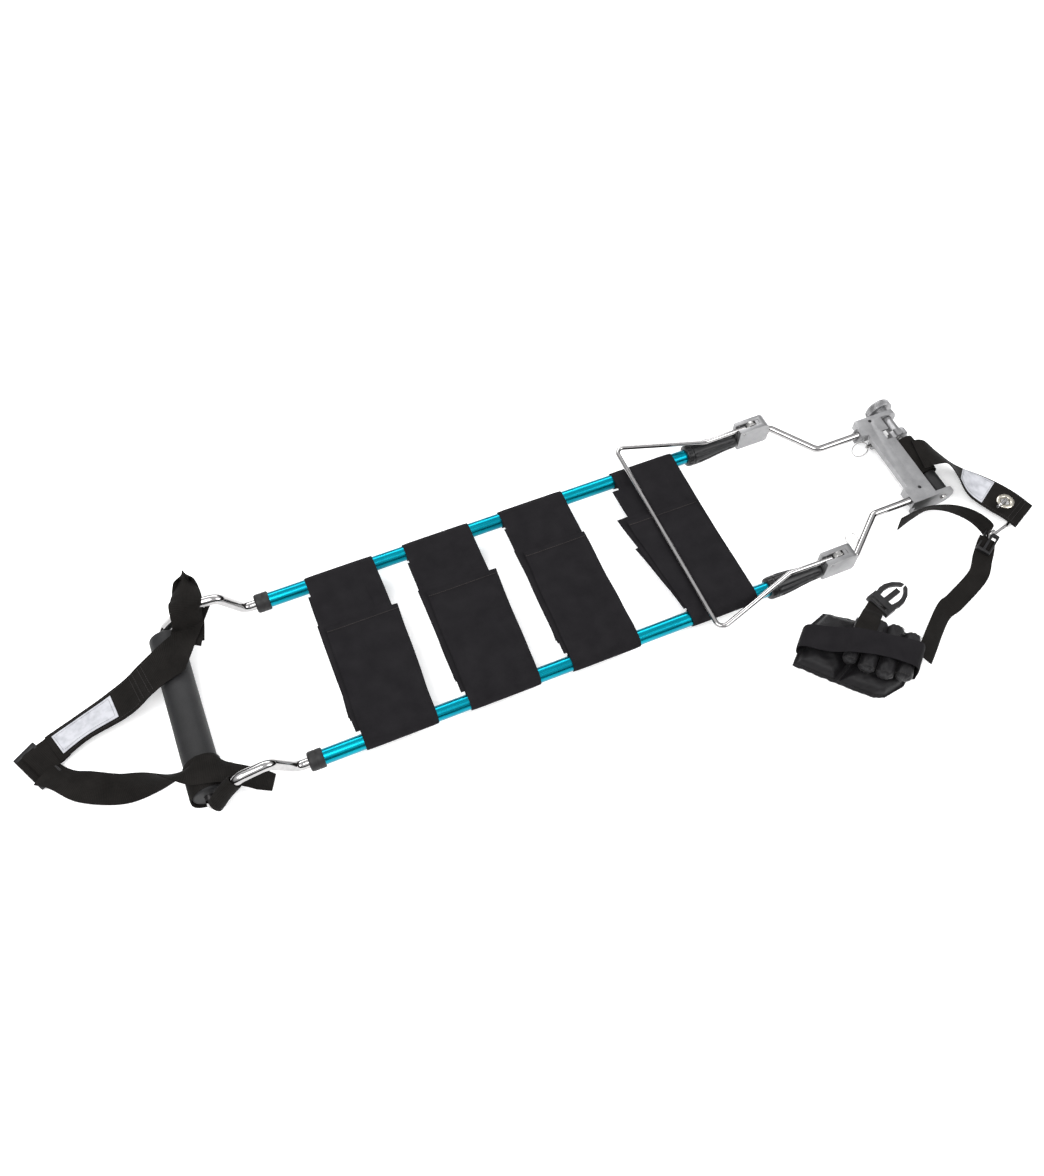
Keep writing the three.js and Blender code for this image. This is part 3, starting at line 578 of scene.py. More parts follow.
def sew():
    for (body, look), found in sorted(STITCHES.items()):
        make(f"stitches_{look}_{body}", together(*found), look, body, weld=False)


def refined(node, name, look, bevel=0.7, segments=3):
    """The CAD node's own shape with its edges rounded over."""
    source = frame["nodes"][node]
    bm = bmesh.new()
    corners = [bm.verts.new(v.co) for v in source.data.vertices]
    for face in source.data.polygons:
        bm.faces.new([corners[i] for i in face.vertices])
    bmesh.ops.remove_doubles(bm, verts=bm.verts, dist=2e-6)
    bmesh.ops.dissolve_limit(bm, angle_limit=math.radians(1.5), verts=bm.verts, edges=bm.edges)
    bmesh.ops.recalc_face_normals(bm, faces=bm.faces)
    hard = [e for e in bm.edges if len(e.link_faces) == 2
            and e.calc_face_angle(0) > math.radians(32)]
    bmesh.ops.bevel(bm, geom=hard, offset=bevel * MM, segments=segments, profile=0.5,
                    affect="EDGES", clamp_overlap=True)
    mesh = bpy.data.meshes.new(name)
    bm.to_mesh(mesh)
    bm.free()
    return finish_piece(name, mesh, look, source["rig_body"], node, 36)


def coil(span, centre, r, wire, turns, name, node):
    """A coil spring along X, riding on the extension body."""
    t = np.linspace(0, 1, turns * 26)
    x = span[0] + wire + (span[1] - span[0] - 2 * wire) * t
    angle = 2 * math.pi * turns * t
    path = np.stack([x, centre[0] + r * np.cos(angle), centre[1] + r * np.sin(angle)], 1)
    spring = make(name, tube(path, wire, 12), "zinc", "extension", node)
    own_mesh(spring)


# ---- frame -----------------------------------------------------------


def side_tubes():
    for side, s in SIDES:
        y = s * TUBE_Y
        wall = [(-14.1, 8), (-14.1, TUBE_R), (639.6, TUBE_R), (640, TUBE_R - 0.4), (640, 8)]
        make(f"tube_{side}", turned(wall, "X", (0, y, AXIS_Z)), "anodised", "frame",
             f"side_tube_{side}")
        cap = [(-18, 6.65), (-18, 9.6), (-17.6, 10.7), (-16.6, 11.6), (-15.2, 12), (-9.2, 12.05),
               (-8.8, 11.8), (-8, 11.8), (-7.6, 12.05), (-1.6, 12), (-0.5, 11.6), (0, 10.8),
               (0, 9.8), (-14.4, 9.8), (-14.4, 6.65)]
        make(f"collar_{side}", turned(cap, "X", (0, y, AXIS_Z)), "collar", "frame",
             f"end_collar_{side}")


BAR_X, BAR_Z = -133, 22.7  # the ring's padded bar


def ischial_ring():
    leg = [((16, TUBE_Y, AXIS_Z), 0), ((-32, TUBE_Y, AXIS_Z), 15), ((-58, TUBE_Y + 2, 64), 15),
           ((-94, TUBE_Y + 5, 64), 15), ((BAR_X, TUBE_Y + 9.5, BAR_Z), 9)]
    corners = [c for c, _ in leg] + [(x, -y, z) for (x, y, z), _ in leg[::-1]]
    radii = [r for _, r in leg] + [r for _, r in leg[::-1]]
    make("ring", tube(bent_path(corners, radii), 6.35, 40), "chrome", "frame", "ischial_ring")
    y0, y1 = -108, 111
    half = [(y0, 6.65), (y0, 17), (y0 + 0.4, 18.3), (y0 + 1.5, 19.4), (y0 + 3, 19.9)]
    body = [(y, 20) for y in np.linspace(y0 + 8, y1 - 8, 44)]
    profile = half + body + [(y0 + y1 - y, r) for y, r in half[::-1]]
    shape = turned(profile, "Y", (BAR_X, 0, BAR_Z), 96,
                   lambda a, y, r: r + (0.35 * ripple_noise(60 * a, y, 3, 40) if r > 19 else 0))
    pad = make("hip_pad", shape, "foam", "frame", "ischial_pad")


def strap_piece(name, middle, thick, look, body, stands_for, loop=False):
    shape, uv = slab(middle, thick, loop)
    piece = make(name, shape, look, body, stands_for, uv)
    return piece


def seam(body, middle, rows, columns, above, span=slice(None), **how):
    """Stitches across a strap at some rows and along it at some columns."""
    up = above if grid_normals(middle)[len(middle) // 2, 6, 2] > 0 else -above
    for i in rows:
        stitches(body, *line_of(middle, i, slice(1, -1), up), **how)
    for j in columns:
        stitches(body, *line_of(middle, span, j, up), **how)


LABEL_THREAD = {"look": "grey_thread", "pitch": 2.4, "length": 1.7, "r": 0.22}


def ischial_strap():
    wide = ribbon([((-92, 86, 45), (0.4, 1, 0)), ((-104, 80, 45.6), (0.4, 1, 0)),
                   ((-120, 72, 47), (0.3, 1, 0)), ((-142, 63, 45.5), (0.1, 1, 0)),
                   ((-166, 56, 37), (-0.1, 1, -0.1)), ((-198, 48, 22), (-0.15, 1, -0.12)),
                   ((-252, 38, 12), (-0.2, 0.95, -0.25)), ((-290, 25, 9), (-0.42, 0.95, -0.05))],
                  lambda t: 48 - 7 * max(0, t - 0.75) * 4, wave=0.6, seed=2, rows=120, cols=14,
                  skew=1.7)
    strap_piece("hip_strap", wide, 2, "webbing", "frame", "ischial_strap_wide")
    seam("frame", wide, (66, 69, 74, 77), (1, 13), 1.05, slice(78, 116))
    loop = ribbon([((-110, 82, 42.8), (1, 0.35, 0)), ((-101, 98, 48), (1, 0.35, 0)),
                   ((-95, 112, 71.5), (1, 0.2, 0)), ((-91, 128, 75), (1, 0.1, 0)),
                   ((-88, 150, 74), (1, 0, 0)), ((-86, 166, 69), (1, 0, 0)),
                   ((-87, 158, 59), (1, 0, 0)), ((-91, 138, 52), (1, 0.1, 0)),
                   ((-97, 117, 45), (1, 0.2, 0)), ((-101, 102, 43), (1, 0.35, 0)),
                   ((-106, 85, 40.4), (1, 0.35, 0))], 38, wave=0.8, seed=5, rows=130,
                  folds=[0, 0, -4, -20, -50, -78, -55, -25, -5, 0, 0])
    strap_piece("hip_strap_loop", loop, 1.8, "webbing", "frame", "ischial_strap_loop")
    near = ribbon([((-303, -3, 13), (0.5, 0.8, -0.3)), ((-287, -18, 13), (0.4, 0.75, -0.48)),
                   ((-262, -38, 13), (0.25, 0.85, 0.1)), ((-224, -58, 17), (0.1, 0.75, 0.65)),
                   ((-190, -66, 25), (0, 0.3, 0.95)), ((-170, -71, 32), (0.1, -0.15, 1)),
                   ((-154, -77, 41.5), (0.1, -0.6, 0.8)), ((-138, -82, 46.6), (0.1, -1, 0.1)),
                   ((-120, -88, 45), (0.3, -0.95, 0)), ((-104, -96, 37), (0.45, -0.9, 0)),
                   ((-86, -104, 28), (0.5, -0.85, 0)), ((-62, -118, 18), (0.5, -0.85, -0.1))],
                  lambda t: 38 - 4 * t - 9 * max(0, t - 0.95) / 0.05, rows=190, wave=1.4,
                  seed=8)
    strap_piece("hip_strap_near", near, 2, "webbing", "frame", "ischial_strap_near")
    round_pad = wound(BAR_X, BAR_Z, np.linspace(0, 2 * math.pi, 97)[:-1], (-107.5, -67),
                      lambda a: 21.5 + 0.35 * math.cos(3 * a), lambda a: 3 * math.sin(a + 0.6))
    strap_piece("hip_strap_wrap", round_pad, 2, "webbing", "frame", "ischial_strap_wrap",
                loop=True)
    leg_wrap()
    slider()
    tag = patch(wide, slice(89, 117), slice(2, 13), 1.35)
    strap_piece("hip_label", tag, 0.6, "label", "frame", "ischial_label")
    seam("frame", tag, (1, 26), (1, 9), 0.35, slice(1, 27), **LABEL_THREAD)


def wound(x, z, angles, span, radius, drift):
    """Cloth wound round a bar along Y; its radius and its drift along Y follow the angle."""
    return [[(x + radius(a) * math.sin(a), y + drift(a), z + radius(a) * math.cos(a))
             for y in np.linspace(*span, 13)] for a in angles]


def patch(middle, rows, columns, lift):
    """A piece of cloth lying on a strap: some of its rows and columns, raised."""
    up = grid_normals(middle)[rows, columns]
    return middle[rows, columns] + up * lift * np.sign(up[len(up) // 2, 3, 2])


def leg_wrap():
    """The strap's tail, wound round the ring's near leg above the end of the pad."""
    low, high = np.array([-130, -121.6, 27]), np.array([-108, -119.4, 49])
    ahead = (high - low) / np.linalg.norm(high - low)
    across = np.cross(ahead, [0, 1.0, 0])
    across /= np.linalg.norm(across)
    up = np.cross(ahead, across)
    middle = []
    for a in np.linspace(0, 2 * math.pi, 73)[:-1]:
        out = across * math.cos(a) + up * math.sin(a)
        slip = 3 * math.sin(a + 0.8)
        middle.append([low + ahead * (along + slip) + out * (
            8.5 + 1.2 * math.sin(along / 12 + a)) for along in np.linspace(0, 44, 15)])
    strap_piece("leg_strap_wrap", middle, 1.8, "webbing", "frame", (),
                loop=True)


def slider():
    """The tri-glide, and the webbing that goes over its middle bar and under its ends."""
    refined("strap_slider", "tri_glide", "plastic", 1.1, 4)
    turn = 0.48
    out = np.array([math.cos(turn), math.sin(turn), 0])
    wide = (-math.sin(turn), math.cos(turn), 0)

    def at(along, z):
        return np.array([-311, 13, 0]) + out * along + (0, 0, z)

    over = ribbon([(at(34, 8.5), wide), (at(24, 8), wide), (at(15, 9.4), wide), (at(7, 8.6), wide),
                   (at(1.5, 10.6), wide), (at(-4.5, 9.6), wide), (at(-7.5, 6), wide),
                   (at(-9, 2.6), wide)], 40, rows=50, wave=0.5, seed=17)
    strap_piece("hip_strap_end", over, 1.7, "webbing", "frame", ())
    under = ribbon([(at(-14, 10.4), wide), (at(-8, 6.5), wide), (at(-3, 2.4), wide),
                    (at(6, 2.2), wide), (at(14, 2.6), wide)], 38, rows=40, wave=0.3, seed=18)
    strap_piece("hip_strap_return", under, 1.6, "webbing", "frame", ())


# Each band's X, and where its flap's left edge, right edge and hem are.
BANDS = [(48, -5, 7, 38), (178, -5, 7, 38), (310, -4, 0, 46), (471, -25, -8, 38)]
BAND_WIDTH = 89
BAND_TOP = 36.9


def band_path():
    """The way a band goes round both tubes, in Y and Z, from one seam to the other."""
    r = TUBE_R + 1
    arc = [(TUBE_Y + r * math.cos(a), AXIS_Z + r * math.sin(a))
           for a in np.radians(np.linspace(-208, 90, 52))]
    lap = [(TUBE_Y - 24, AXIS_Z + 9.1), (TUBE_Y - 18, AXIS_Z + 8.6),
           (TUBE_Y - 13.4, AXIS_Z + 7.2)]
    web = [(y, AXIS_Z + r - 1.1 * math.sqrt(max(0, 1 - (y / 104) ** 2)))
           for y in np.linspace(TUBE_Y - 4, -TUBE_Y + 4, 60)]
    return lap + arc + web + [(-y, z) for y, z in (lap + arc)[::-1]]


def cradle_bands():
    path = band_path()
    for i, (x0, left, right, hem) in enumerate(BANDS):
        middle = []
        for y, z in path:
            bow = 0.9 * ripple_noise(y, z, 10 + i, 70)
            slack = 0.35 if abs(y) < 96 else 0
            middle.append([(x + bow, y, z + slack * ripple_noise(x, y, 20 + i))
                           for x in np.linspace(x0, x0 + BAND_WIDTH, 15)])
        shape, uv = slab(middle, 1.4)
        inset = (-4, -11) if i == 3 else (-6, -3)
        second = flap_layer(x0, inset, (-16, -22), -88, 90, 36.7, 61 + i)
        more, more_uv = slab(second, 0.7)
        band = make(f"band_{i + 1}", together(shape, more), "band", "frame",
                    f"cradle_band_{i + 1}", uv + more_uv)
        flap(i, x0, left, right, hem)


def flap_layer(x0, left, right, start, hem, height, seed):
    """One layer over the band: left and right move its corners in X at its start and hem."""
    rows = []
    for y in np.linspace(start, hem, 74):
        t = (y - start) / (hem - start)
        a = x0 + left[0] + (left[1] - left[0]) * t
        b = x0 + BAND_WIDTH + right[0] + (right[1] - right[0]) * t
        over_tube = AXIS_Z + math.sqrt(max(11.9 ** 2 - (y + TUBE_Y) ** 2, 0))
        climb = min(1, max(0, (y + TUBE_Y) / 14))
        z = over_tube if y < -TUBE_Y else BAND_TOP + (height - BAND_TOP) * climb
        free = min(1, max(0, (y + TUBE_Y) / 25))
        rows.append([(x + 0.9 * ripple_noise(y, x0, seed, 40), y,
                      z + 0.3 * free * ripple_noise(x, y, seed))
                     for x in np.linspace(a, b, 15)])
    return np.array(rows)


def flap(i, x0, left, right, hem):
    """A cradle strap's end, folded into three layers over its band."""
    body = "frame" if i == 3 else f"cradle_flap_{i + 1}"
    top = flap_layer(x0, (0, left + 9), (0, right), -124.6, hem, 39.1, 31 + i)
    lift = np.maximum(0, np.arange(74) - 62) / 11
    curl = np.maximum(0, 1 - np.arange(15) / 3) ** 2 * (0.4 if i == 3 else 1.1)
    top[:, :, 2] += 1.6 * lift[:, None] + curl[None, :] * (top[:, :, 1] > -104)
    thick = np.where(np.arange(74)[:, None] > 69, 1.7, 1.1) * np.ones((74, 15))
    lower = flap_layer(x0, (-5, left), (-2, right - 8), -104, hem + 8, 38.1, 41 + i)
    lowest = flap_layer(x0, (-7, left + 3), (-6, right - 7), -84, hem - 40, 37.35, 51 + i)
    shapes, flats = [], []
    for layer, depth in ((top, thick), (lower, 0.7), (lowest, 0.6)):
        shape, uv = slab(layer, depth)
        shapes.append(shape)
        flats += uv
    opens = body != "frame"
    piece = make(f"flap_{i + 1}", together(*shapes), "band", None if opens else body,
                 f"cradle_flap_{i + 1}", flats)
    if opens:
        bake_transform(piece)
    stitches(body, *line_of(top, 70, slice(None), -0.85), look="hem_thread", pitch=2.6, length=2,
             r=0.36, lift=0.1)


# ---- grips and extension ---------------------------------------------

GRIP_X = 580
GRIP_PROFILE = [(0, 12.9), (0.5, 13.6), (1.4, 14.1), (2.4, 14.3), (5, 14.5), (7.4, 14.5),
                (8, 13.5), (9.4, 13.5), (10, 14.6), (20, 14.6), (32, 13.6), (45, 12), (58, 10.8),
                (66, 10.4), (70, 10.3), (73, 10), (74.6, 9.4), (75.4, 8.4)]


def grip_ripple(angle, along, r):
    """The grip's short ribs at its collar, and its eight grooves; its bore is smooth."""
    if r < 9:
        return r
    x = along - GRIP_X
    if x < 7.4:
        return r - 1.3 * (math.cos(18 * angle) > 0.72) * (1.5 < x < 7)
    if x < 10 or x > 71:
        return r
    fade = min(1, (x - 10) / 6, (71 - x) / 8)
    deepest = min(1.5, r - 9.8) if x < 61 else 1.5
    return r - deepest * fade * max(0, math.cos(8 * angle)) ** 1.5


def grips():
    along = np.union1d(np.arange(76), [a for a, _ in GRIP_PROFILE])
    radius = np.interp(along, *zip(*GRIP_PROFILE))
    outer = [(GRIP_X + a, r) for a, r in zip(along, radius)]
    hole = [(655.4, 5.1), (641, 5.1), (641, 9.8), (GRIP_X, 9.8)]
    for side, s in SIDES:
        make(f"grip_{side}", turned(outer + hole, "X", (0, s * TUBE_Y, AXIS_Z), 180,
                                    grip_ripple), "grip", f"{side}_grip", f"lock_grip_{side}")


ROD_END_Y = {"far": 54, "near": -66.5}
ROD_SETTLE_X = {"far": 751, "near": 764}
PIVOT = (662.5, AXIS_Z + 18.5)


def extension():
    for side, s in SIDES:
        y = s * TUBE_Y
        corners = [(300, y, AXIS_Z), (709, y, AXIS_Z),
                   (ROD_SETTLE_X[side], ROD_END_Y[side], AXIS_Z), (846, ROD_END_Y[side], AXIS_Z)]
        make(f"rod_{side}", tube(bent_path(corners, [0, 12, 12, 0]), 4.75, 36), "chrome",
             "extension", f"slide_rod_{side}")
        refined(f"hinge_block_{side}", f"block_{side}", "casting", 1.0, 4)
        make(f"block_boss_{side}", disc(8.2, "X", (0, y, AXIS_Z), (701.2, 705.5), 72, 1.4),
             "casting", "extension")
        make(f"pin_{side}", disc(1.5, "Y", (PIVOT[0], 0, PIVOT[1]), (y - 9.7, y + 9.7), 40, 0.3),
             "zinc", "extension", f"hinge_pin_{side}")
        refined(f"heel_latch_{side}", f"latch_{side}", "zinc", 0.5)
        cover = [[(x, y - 3.7, 46.6), (x, y + 3.7, 46.6), (x, y + 3.7, 48), (x, y - 3.7, 48)]
                 for x in (684.2, 689)]
        make(f"cover_{side}", skin(cover), "casting", "extension")
        coil((680.7, 689.1), (y, PIVOT[1]), 2.6, 0.45, 5, f"coil_{side}",
             f"latch_spring_{side}")
    clip = [(703 + 8 * math.cos(a), -101 + 8 * math.sin(a), 50.2 + 1.5 * math.sin(a))
            for a in np.linspace(-1.2, 3.6, 60)]
    make("wire_clip", tube(clip, 0.6, 14, dome=0.8), "zinc", "extension")
    bail()


def bail():
    def leg(s):
        return [(668, s * TUBE_Y, PIVOT[1]), (608, s * (TUBE_Y - 1), PIVOT[1]), (491, s * 150, 43.3)]
    path = bent_path(leg(1) + leg(-1)[::-1], [0, 12, 9, 9, 12, 0], 16)
    make("bail", tube(path, 3.15, 36, dome=1.5), "chrome", "heel_stand", "heel_stand_bail")


SHAFT = (870, 18.5)
RELEASE = (825.5, 38.5, 14)  # the plunger's end, where the pull ring hangs


def winch():
    refined("winch_bracket", "bracket", "casting", 1.1, 4)
    for side, (x, y) in (("far", (840, 65.5)), ("near", (841, -55.5))):
        make(f"roll_pin_{side}", disc(2.2, "Z", (x, y, 0), (18, 30.2), 40, 0.3), "plastic",
             "extension", f"bracket_pin_{side}")
    body = "winch_spindle"
    centre = (SHAFT[0], 0, SHAFT[1])
    make("shaft", disc(4, "Y", centre, (-77, 88), 56, 0.8), "zinc", body, "winch_shaft")
    refined("ratchet_wheel", "wheel", "casting", 0.35)
    knob = [(74, 4.3), (74, 9.4), (74.6, 10), (80, 10), (80, 16.8), (80.5, 17.6), (81.3, 18),
            (88.7, 18), (89.5, 17.6), (90, 16.8), (90, 12.4), (89.6, 12), (89.2, 11.4),
            (89.2, 0.01), (88.4, 0.01), (88.4, 4.3)]
    make("knob", turned(knob, "Y", centre, 288,
                        lambda a, y, r: r - (0.5 * (math.cos(72 * a) > 0) if r > 17.5 else 0)),
         "casting", body, "winch_knob")
    make("spacer", turned([(-68, 4.3), (-68, 9.9), (-67.4, 10.5), (-37.6, 10.5), (-37, 9.9),
                           (-37, 4.3)], "Y", centre, 72), "plastic", body, "shaft_spacer")
    roll = wound(*SHAFT, np.linspace(0, 2 * math.pi * 4.4, 240), (-35, 24),
                 lambda a: 5.2 + 2.05 * a / (2 * math.pi), lambda a: 0.8 * math.sin(0.7 * a))
    strap_piece("wound_strap", roll, 1.4, "webbing", body, "strap_roll")
    refined("release_plunger", "plunger", "zinc", 0.25)
    coil((835.4, 846.7), RELEASE[1:], 3.5, 0.5, 6, "plunger_coil", "plunger_spring")
    tilt, yaw = math.radians(33), math.radians(-20)
    wire = []
    for a in np.linspace(0.3, 2 * math.pi * 1.92, 110):
        x, y = 11.2 * (math.cos(a) - 1), 11.2 * math.sin(a)
        z = 0.62 * (a / (2 * math.pi) - 1)
        x, z = x * math.cos(tilt) - z * math.sin(tilt), x * math.sin(tilt) + z * math.cos(tilt)
        x, y = x * math.cos(yaw) - y * math.sin(yaw), x * math.sin(yaw) + y * math.cos(yaw)
        wire.append((RELEASE[0] + x, RELEASE[1] + y, RELEASE[2] + z))
    make("split_ring", tube(wire, 0.55, 14, dome=0.8), "zinc", "pull_ring", "pull_ring")


# ---- traction strap and ankle hitch ----------------------------------

GROMMET = (947, -110, 9.5)
KEEPER = (899, -150)


def traction_strap():
    gx, gy, gz = GROMMET
    middle = ribbon([((866, -11, 34.8), (0, 1, 0)), ((880, -14, 35.2), (0.15, 1, -0.12)),
                     ((898, -26, 28.6), (0.3, 0.78, -0.5)), ((912, -48, 19), (0.45, 0.75, -0.42)),
                     ((925, -73, 11.5), (0.77, 0.6, -0.12)), ((939, -97, 9.5), (0.82, 0.56, 0)),
                     ((949, -117, 9.5), (0.82, 0.56, 0)), ((959, -138, 6), (0.8, 0.6, 0))], 48,
                    rows=120, cols=16, wave=0.9, seed=4)
    strap = strap_piece("haul_strap", middle, 1.6, "webbing", "extension", "traction_strap")
    bore(strap, disc(8.6, "Z", (gx, gy, 0), (gz - 8, gz + 8), 48))
    seam("extension", middle, (108, 112), (1, 15), 0.85, slice(82, 118))
    rim = [(-1.2, 6), (-1.2, 8.2), (1.7, 8.2), (1.7, 11.4), (2.1, 11.6), (2.6, 11.2), (3.1, 9.6),
           (3.2, 8.2), (2.9, 6.8), (2.2, 6.1), (1, 5.9)]
    make("eyelet", turned(rim, "Z", GROMMET, 72), "nickel", "extension", "strap_grommet")
    tag = patch(middle, slice(54, 80), slice(1, 16), 1.2)
    strap_piece("haul_label", tag, 0.6, "label", "extension", "traction_label")
    seam("extension", tag, (1, 24), (1, 13), 0.35, **LABEL_THREAD)
    kx, ky = KEEPER
    low = 2.5
    corners = [(gx - 17, gy - 5, gz + 4), (gx - 14, gy - 4.5, gz + 7.5), (gx, gy, gz + 7.5),
               (gx, gy, low), (gx - 10, gy - 28, low), (kx - 10, ky + 1, low),
               (kx - 10, ky + 1, 18), (kx + 1, ky + 3.5, 18)]
    make("hook", tube(bent_path(corners, [0, 3, 4, 4, 8, 5, 4, 0]), 2.1, 28, dome=1), "chrome",
         "traction_hook", "s_hook")


def bore(piece, shape):
    """Cut a shape out of a piece."""
    tool = make("cutter", shape, "plastic", "frame")
    cut = piece.modifiers.new("bore", "BOOLEAN")
    cut.operation, cut.solver, cut.object = "DIFFERENCE", "EXACT", tool
    bpy.context.view_layer.update()
    found = bpy.data.meshes.new_from_object(piece.evaluated_get(
        bpy.context.evaluated_depsgraph_get()))
    piece.modifiers.clear()
    piece.data = found
    bpy.data.objects.remove(tool)


HITCH_AT = np.array([648, -228, 0])
HITCH_TURN = math.radians(-46)


def on_hitch(points):
    """Points drawn along the folded hitch's own length, width and height."""
    c, s = math.cos(HITCH_TURN), math.sin(HITCH_TURN)
    return np.asarray(points, float) @ np.array([[c, s, 0], [-s, c, 0], [0, 0, 1]]) + HITCH_AT


def along_line(points, t):
    p = np.asarray(points, float)
    run = lengths(p)
    return places(t * run[-1], run, p)


PAD_LOW = [(-70, -47), (-20, -50), (30, -51), (44, -46)]
PAD_HIGH = [(-54, 39), (38, 53), (61, 52)]
PAD_LEFT = [(-70, -47), (-67, 12), (-54, 39)]
PAD_RIGHT = [(44, -46), (62, -22), (72, 34), (61, 52)]


def pad_point(u, v):
    """A place inside the pad's outline, from its four edges."""
    low, high = along_line(PAD_LOW, u), along_line(PAD_HIGH, u)
    left, right = along_line(PAD_LEFT, v), along_line(PAD_RIGHT, v)
    corners = ((1 - u) * (1 - v) * np.array(PAD_LOW[0]) + u * (1 - v) * np.array(PAD_LOW[-1])
               + (1 - u) * v * np.array(PAD_HIGH[0]) + u * v * np.array(PAD_HIGH[-1]))
    return (1 - v) * low + v * high + (1 - u) * left + u * right - corners


def pad_height(u, v):
    """How far the quilting stands up: it falls to its seams and to its sewn edge."""
    seam = min(abs(u - s) for s in (0, 0.47, 1)) * 115
    edge = min(v, 1 - v) * 100
    near = min(seam, edge)
    puff = 1 - math.exp(-max(near - 3.5, 0) / 4.5)
    return 0.8 + 13.2 * puff + (1.3 * ripple_noise(115 * u, 100 * v, 61, 16)
                                + 0.7 * ripple_noise(115 * u, 100 * v, 62, 7)) * puff


def ankle_pad():
    n = 84
    top, low = np.zeros((n, n, 3)), np.zeros((n, n, 3))
    for i, u in enumerate(np.linspace(0, 1, n)):
        for j, v in enumerate(np.linspace(0, 1, n)):
            a, b = pad_point(u, v)
            edge = min(v, 1 - v)
            pucker = math.exp(-16 * edge) * math.sin(math.pi * min(1, 20 * edge))
            ragged = 1.1 * ripple_noise(a, 3 * b, 61, 6) * math.exp(-40 * edge)
            ruck = 1.5 * pucker * (math.cos(82 * u) + ripple_noise(a, b, 62, 7))
            fold = 0.9 * ripple_noise(a + 0.6 * b, 0.5 * b, 63, 11)
            rise = pad_height(u, v) + (ruck + fold) * min(1, pad_height(u, v) / 4)
            top[i, j] = (a, b + ragged, 2.6 + max(0.1, rise))
            low[i, j] = (a, b + ragged, 2.5)
    rings = [np.concatenate([top[i], low[i][::-1]]) for i in range(n)]
    points, faces = skin(rings)
    pad = make("ankle_wrap", (on_hitch(points), faces), "nylon_cloth", "ankle_hitch",
               "ankle_pad")
    sewn = on_hitch(top)
    for line in (sewn[3:-3, 3], sewn[3, 3:-3], sewn[40, 3:-3]):
        stitches("ankle_hitch", line, (0, 0, 1), pitch=3.2, length=2.3, r=0.35)


ROLLS = [(-30, 34, 0.82), (-33, 38, 0.97), (-33, 39, 1.0), (-27, 36, 0.98)]  # ends, girth
ROLL_R = 10.5


def ankle_rolls():
    """Four stuffed rolls side by side, gathered at their sewn ends."""
    shapes = []
    for k, (start, end, girth) in enumerate(ROLLS):
        a = -20 + ROLL_R * (2 * k + 1)
        b = np.concatenate([np.linspace(start, start + 6, 12), np.linspace(
            start + 7, end - 7, 44), np.linspace(end - 6, end, 12)])
        inside = np.minimum(b - start, end - b)
        r = ROLL_R * girth * np.sqrt(1 - np.clip(1 - (inside + 0.9) / 5.5, 0, 1) ** 2)
        path = np.stack([a + 1.0 * np.sin(0.06 * b + k), b, 27.9 + 0 * b], 1)
        points, faces = tube(path, r, 56)
        for p in points:
            gather = 0.6 * math.cos(9 * math.atan2(p[0] - a, p[2] - 28))
            near_end = math.exp(-min(p[1] - start, end - p[1]) / 3.5)
            p[2] = max(p[2] + 1.5 * ripple_noise(p[0] * 2, p[1], 70 + k, 11)
                       + 1.8 * gather * near_end, 17.7)
            p[0] += 0.6 * ripple_noise(p[1], p[2] * 2, 80 + k, 9)
            p[1] += 0.7 * ripple_noise(p[0], p[2], 85 + k, 7) * near_end
        shapes.append((on_hitch(points), faces))
        for b_seam in (start + 2.6, end - 2.6):
            angle = np.linspace(-1.3, 1.3, 16)
            r_seam = ROLL_R * girth * 0.93
            ring = np.stack([a + r_seam * np.sin(angle), b_seam + 0 * angle,
                             28 + r_seam * np.cos(angle)], 1)
            out = np.stack([np.sin(angle), 0 * angle, np.cos(angle)], 1)
            stitches("ankle_hitch", on_hitch(ring), on_hitch(out) - HITCH_AT, pitch=3,
                     length=2.1, r=0.3, lift=0.1)
    rolls = make("ankle_rolls", together(*shapes), "nylon_cloth", "ankle_hitch",
                 "ankle_pad_rolls")


def hitch_band():
    way = [(-60, 1.3), (0, 1.2), (58, 1.3), (69, 7), (70, 20), (68.5, 34), (61, 41.6), (40, 42.2),
           (10, 42), (-12, 41), (-27, 34.5), (-46, 27.5), (-62, 25), (-70.5, 19), (-71, 8)]
    path = sampled([(a, 0, z) for a, z in way], 160, closed=True)[:-1]
    middle = []
    for a, _, z in path:
        skew = 0.14 * a - 3
        rise = z > 10
        wave = 2.2 * math.sin(a / 17) if rise else 0
        middle.append([(a, skew + b + wave * (0.5 - b / 34), z + 0.5 * ripple_noise(
            a, b, 90, 18) * rise) for b in np.linspace(-17, 17, 13)])
    middle = on_hitch(middle)
    strap_piece("ankle_band", middle, 1.5, "band", "ankle_hitch", "hitch_band",
                loop=True)


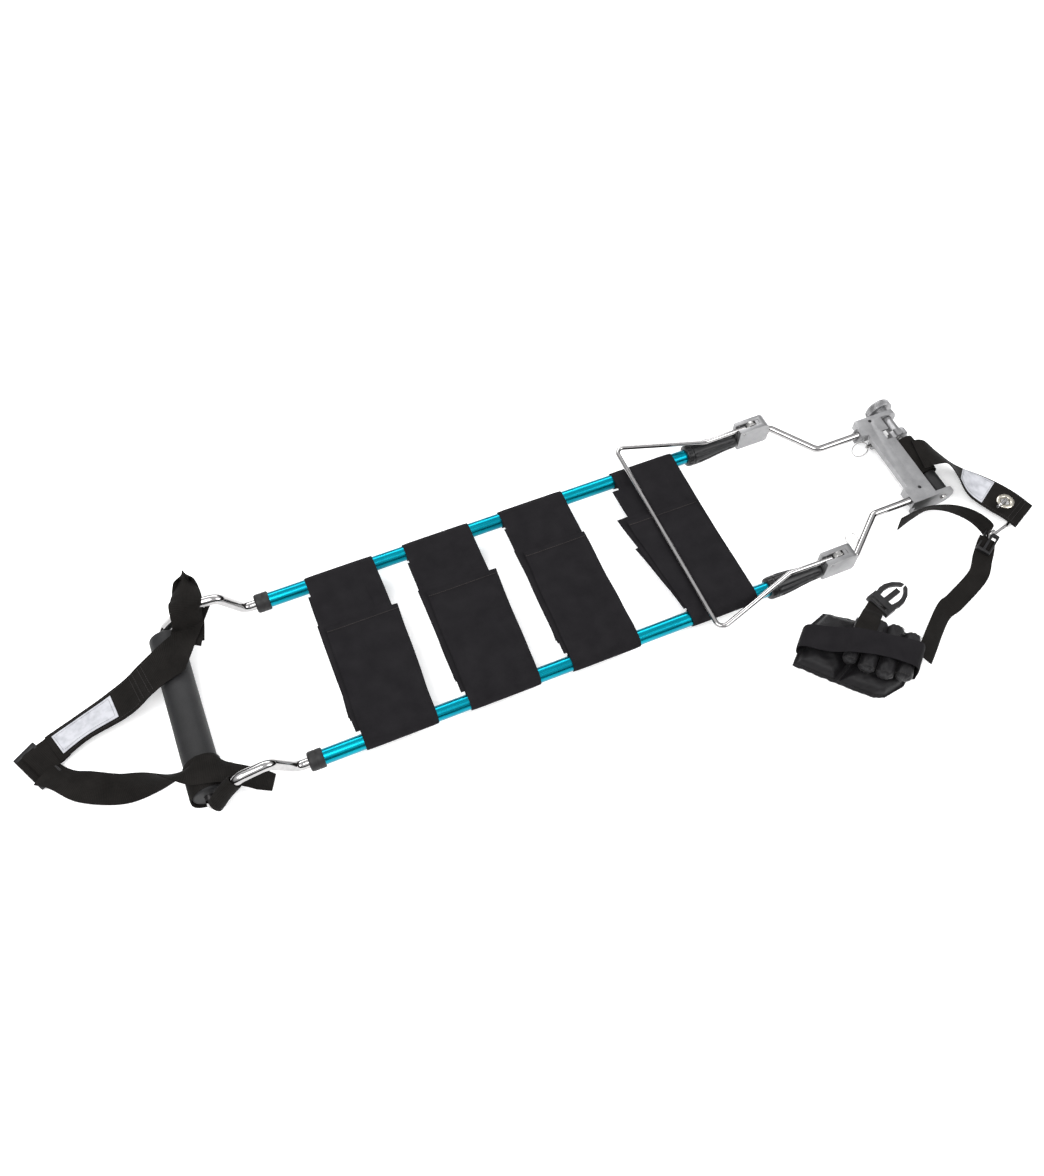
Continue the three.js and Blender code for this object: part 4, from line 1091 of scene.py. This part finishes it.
def hitch_straps():
    kx, ky = KEEPER
    start = on_hitch([74, 18, 17])
    middle = ribbon([(start, (-0.5, 0.75, 0.45)), ((770, -224, 13), (-0.55, 0.62, 0.5)),
                     ((799, -213, 8), (-0.4, 0.9, 0.1)), ((848, -192, 6), (-0.6, 0.78, 0)),
                     ((869, -172, 7), (-0.74, 0.66, 0)), ((880, -161, 9), (-0.76, 0.62, 0.15)),
                     ((889, -151, 13), (-0.7, 0.5, 0.5))], 25, wave=0.6, seed=14, rows=110)
    strap_piece("ankle_strap", middle, 2.2, "webbing", "ankle_hitch", "hitch_strap")
    tail = ribbon([((kx - 12, ky - 2, 16), (-0.3, 0.2, 0.93)),
                   ((kx - 3, ky + 10, 15.5), (0.15, -0.25, 0.95)),
                   ((kx - 9, ky + 34, 15), (0.1, -0.25, 0.95)),
                   ((kx - 27, ky + 56, 14.5), (0, -0.3, 0.95)),
                   ((kx - 52, ky + 68, 14), (-0.15, -0.3, 0.93)),
                   ((kx - 78, ky + 67, 13.8), (-0.15, -0.1, 0.98)),
                   ((kx - 104, ky + 62, 13.6), (-0.2, 0.05, 0.97))], 25, wave=0.4, seed=15,
                  rows=110)
    strap_piece("ankle_strap_tail", tail, 1.6, "webbing", "ankle_hitch", "hitch_strap_tail")
    refined("strap_keeper", "keeper", "plastic", 0.9, 4)
    across = on_hitch([1, 0, 0]) - HITCH_AT
    tab = ribbon([(on_hitch(place), across) for place in (
        (-4, 12, 39.6), (-3, 26, 39.6), (-1, 42, 34), (1, 54, 24), (3, 66, 21))],
        lambda t: 26 - 4 * t, rows=50, wave=0.3)
    strap_piece("tab", tab, 2, "webbing", "ankle_hitch", "buckle_tab")
    refined("buckle_male", "buckle", "plastic", 1.0, 4)


def hidden_parts():
    for side, _ in SIDES:
        for node in (f"rod_collet_{side}", f"rod_guide_{side}"):
            for held in frame["nodes"][node].material_slots:
                held.material = LOOKS["nylon"].material


camera()
studio()
side_tubes()
ischial_ring()
ischial_strap()
cradle_bands()
grips()
extension()
winch()
traction_strap()
ankle_pad()
ankle_rolls()
hitch_band()
hitch_straps()
hidden_parts()
sew()
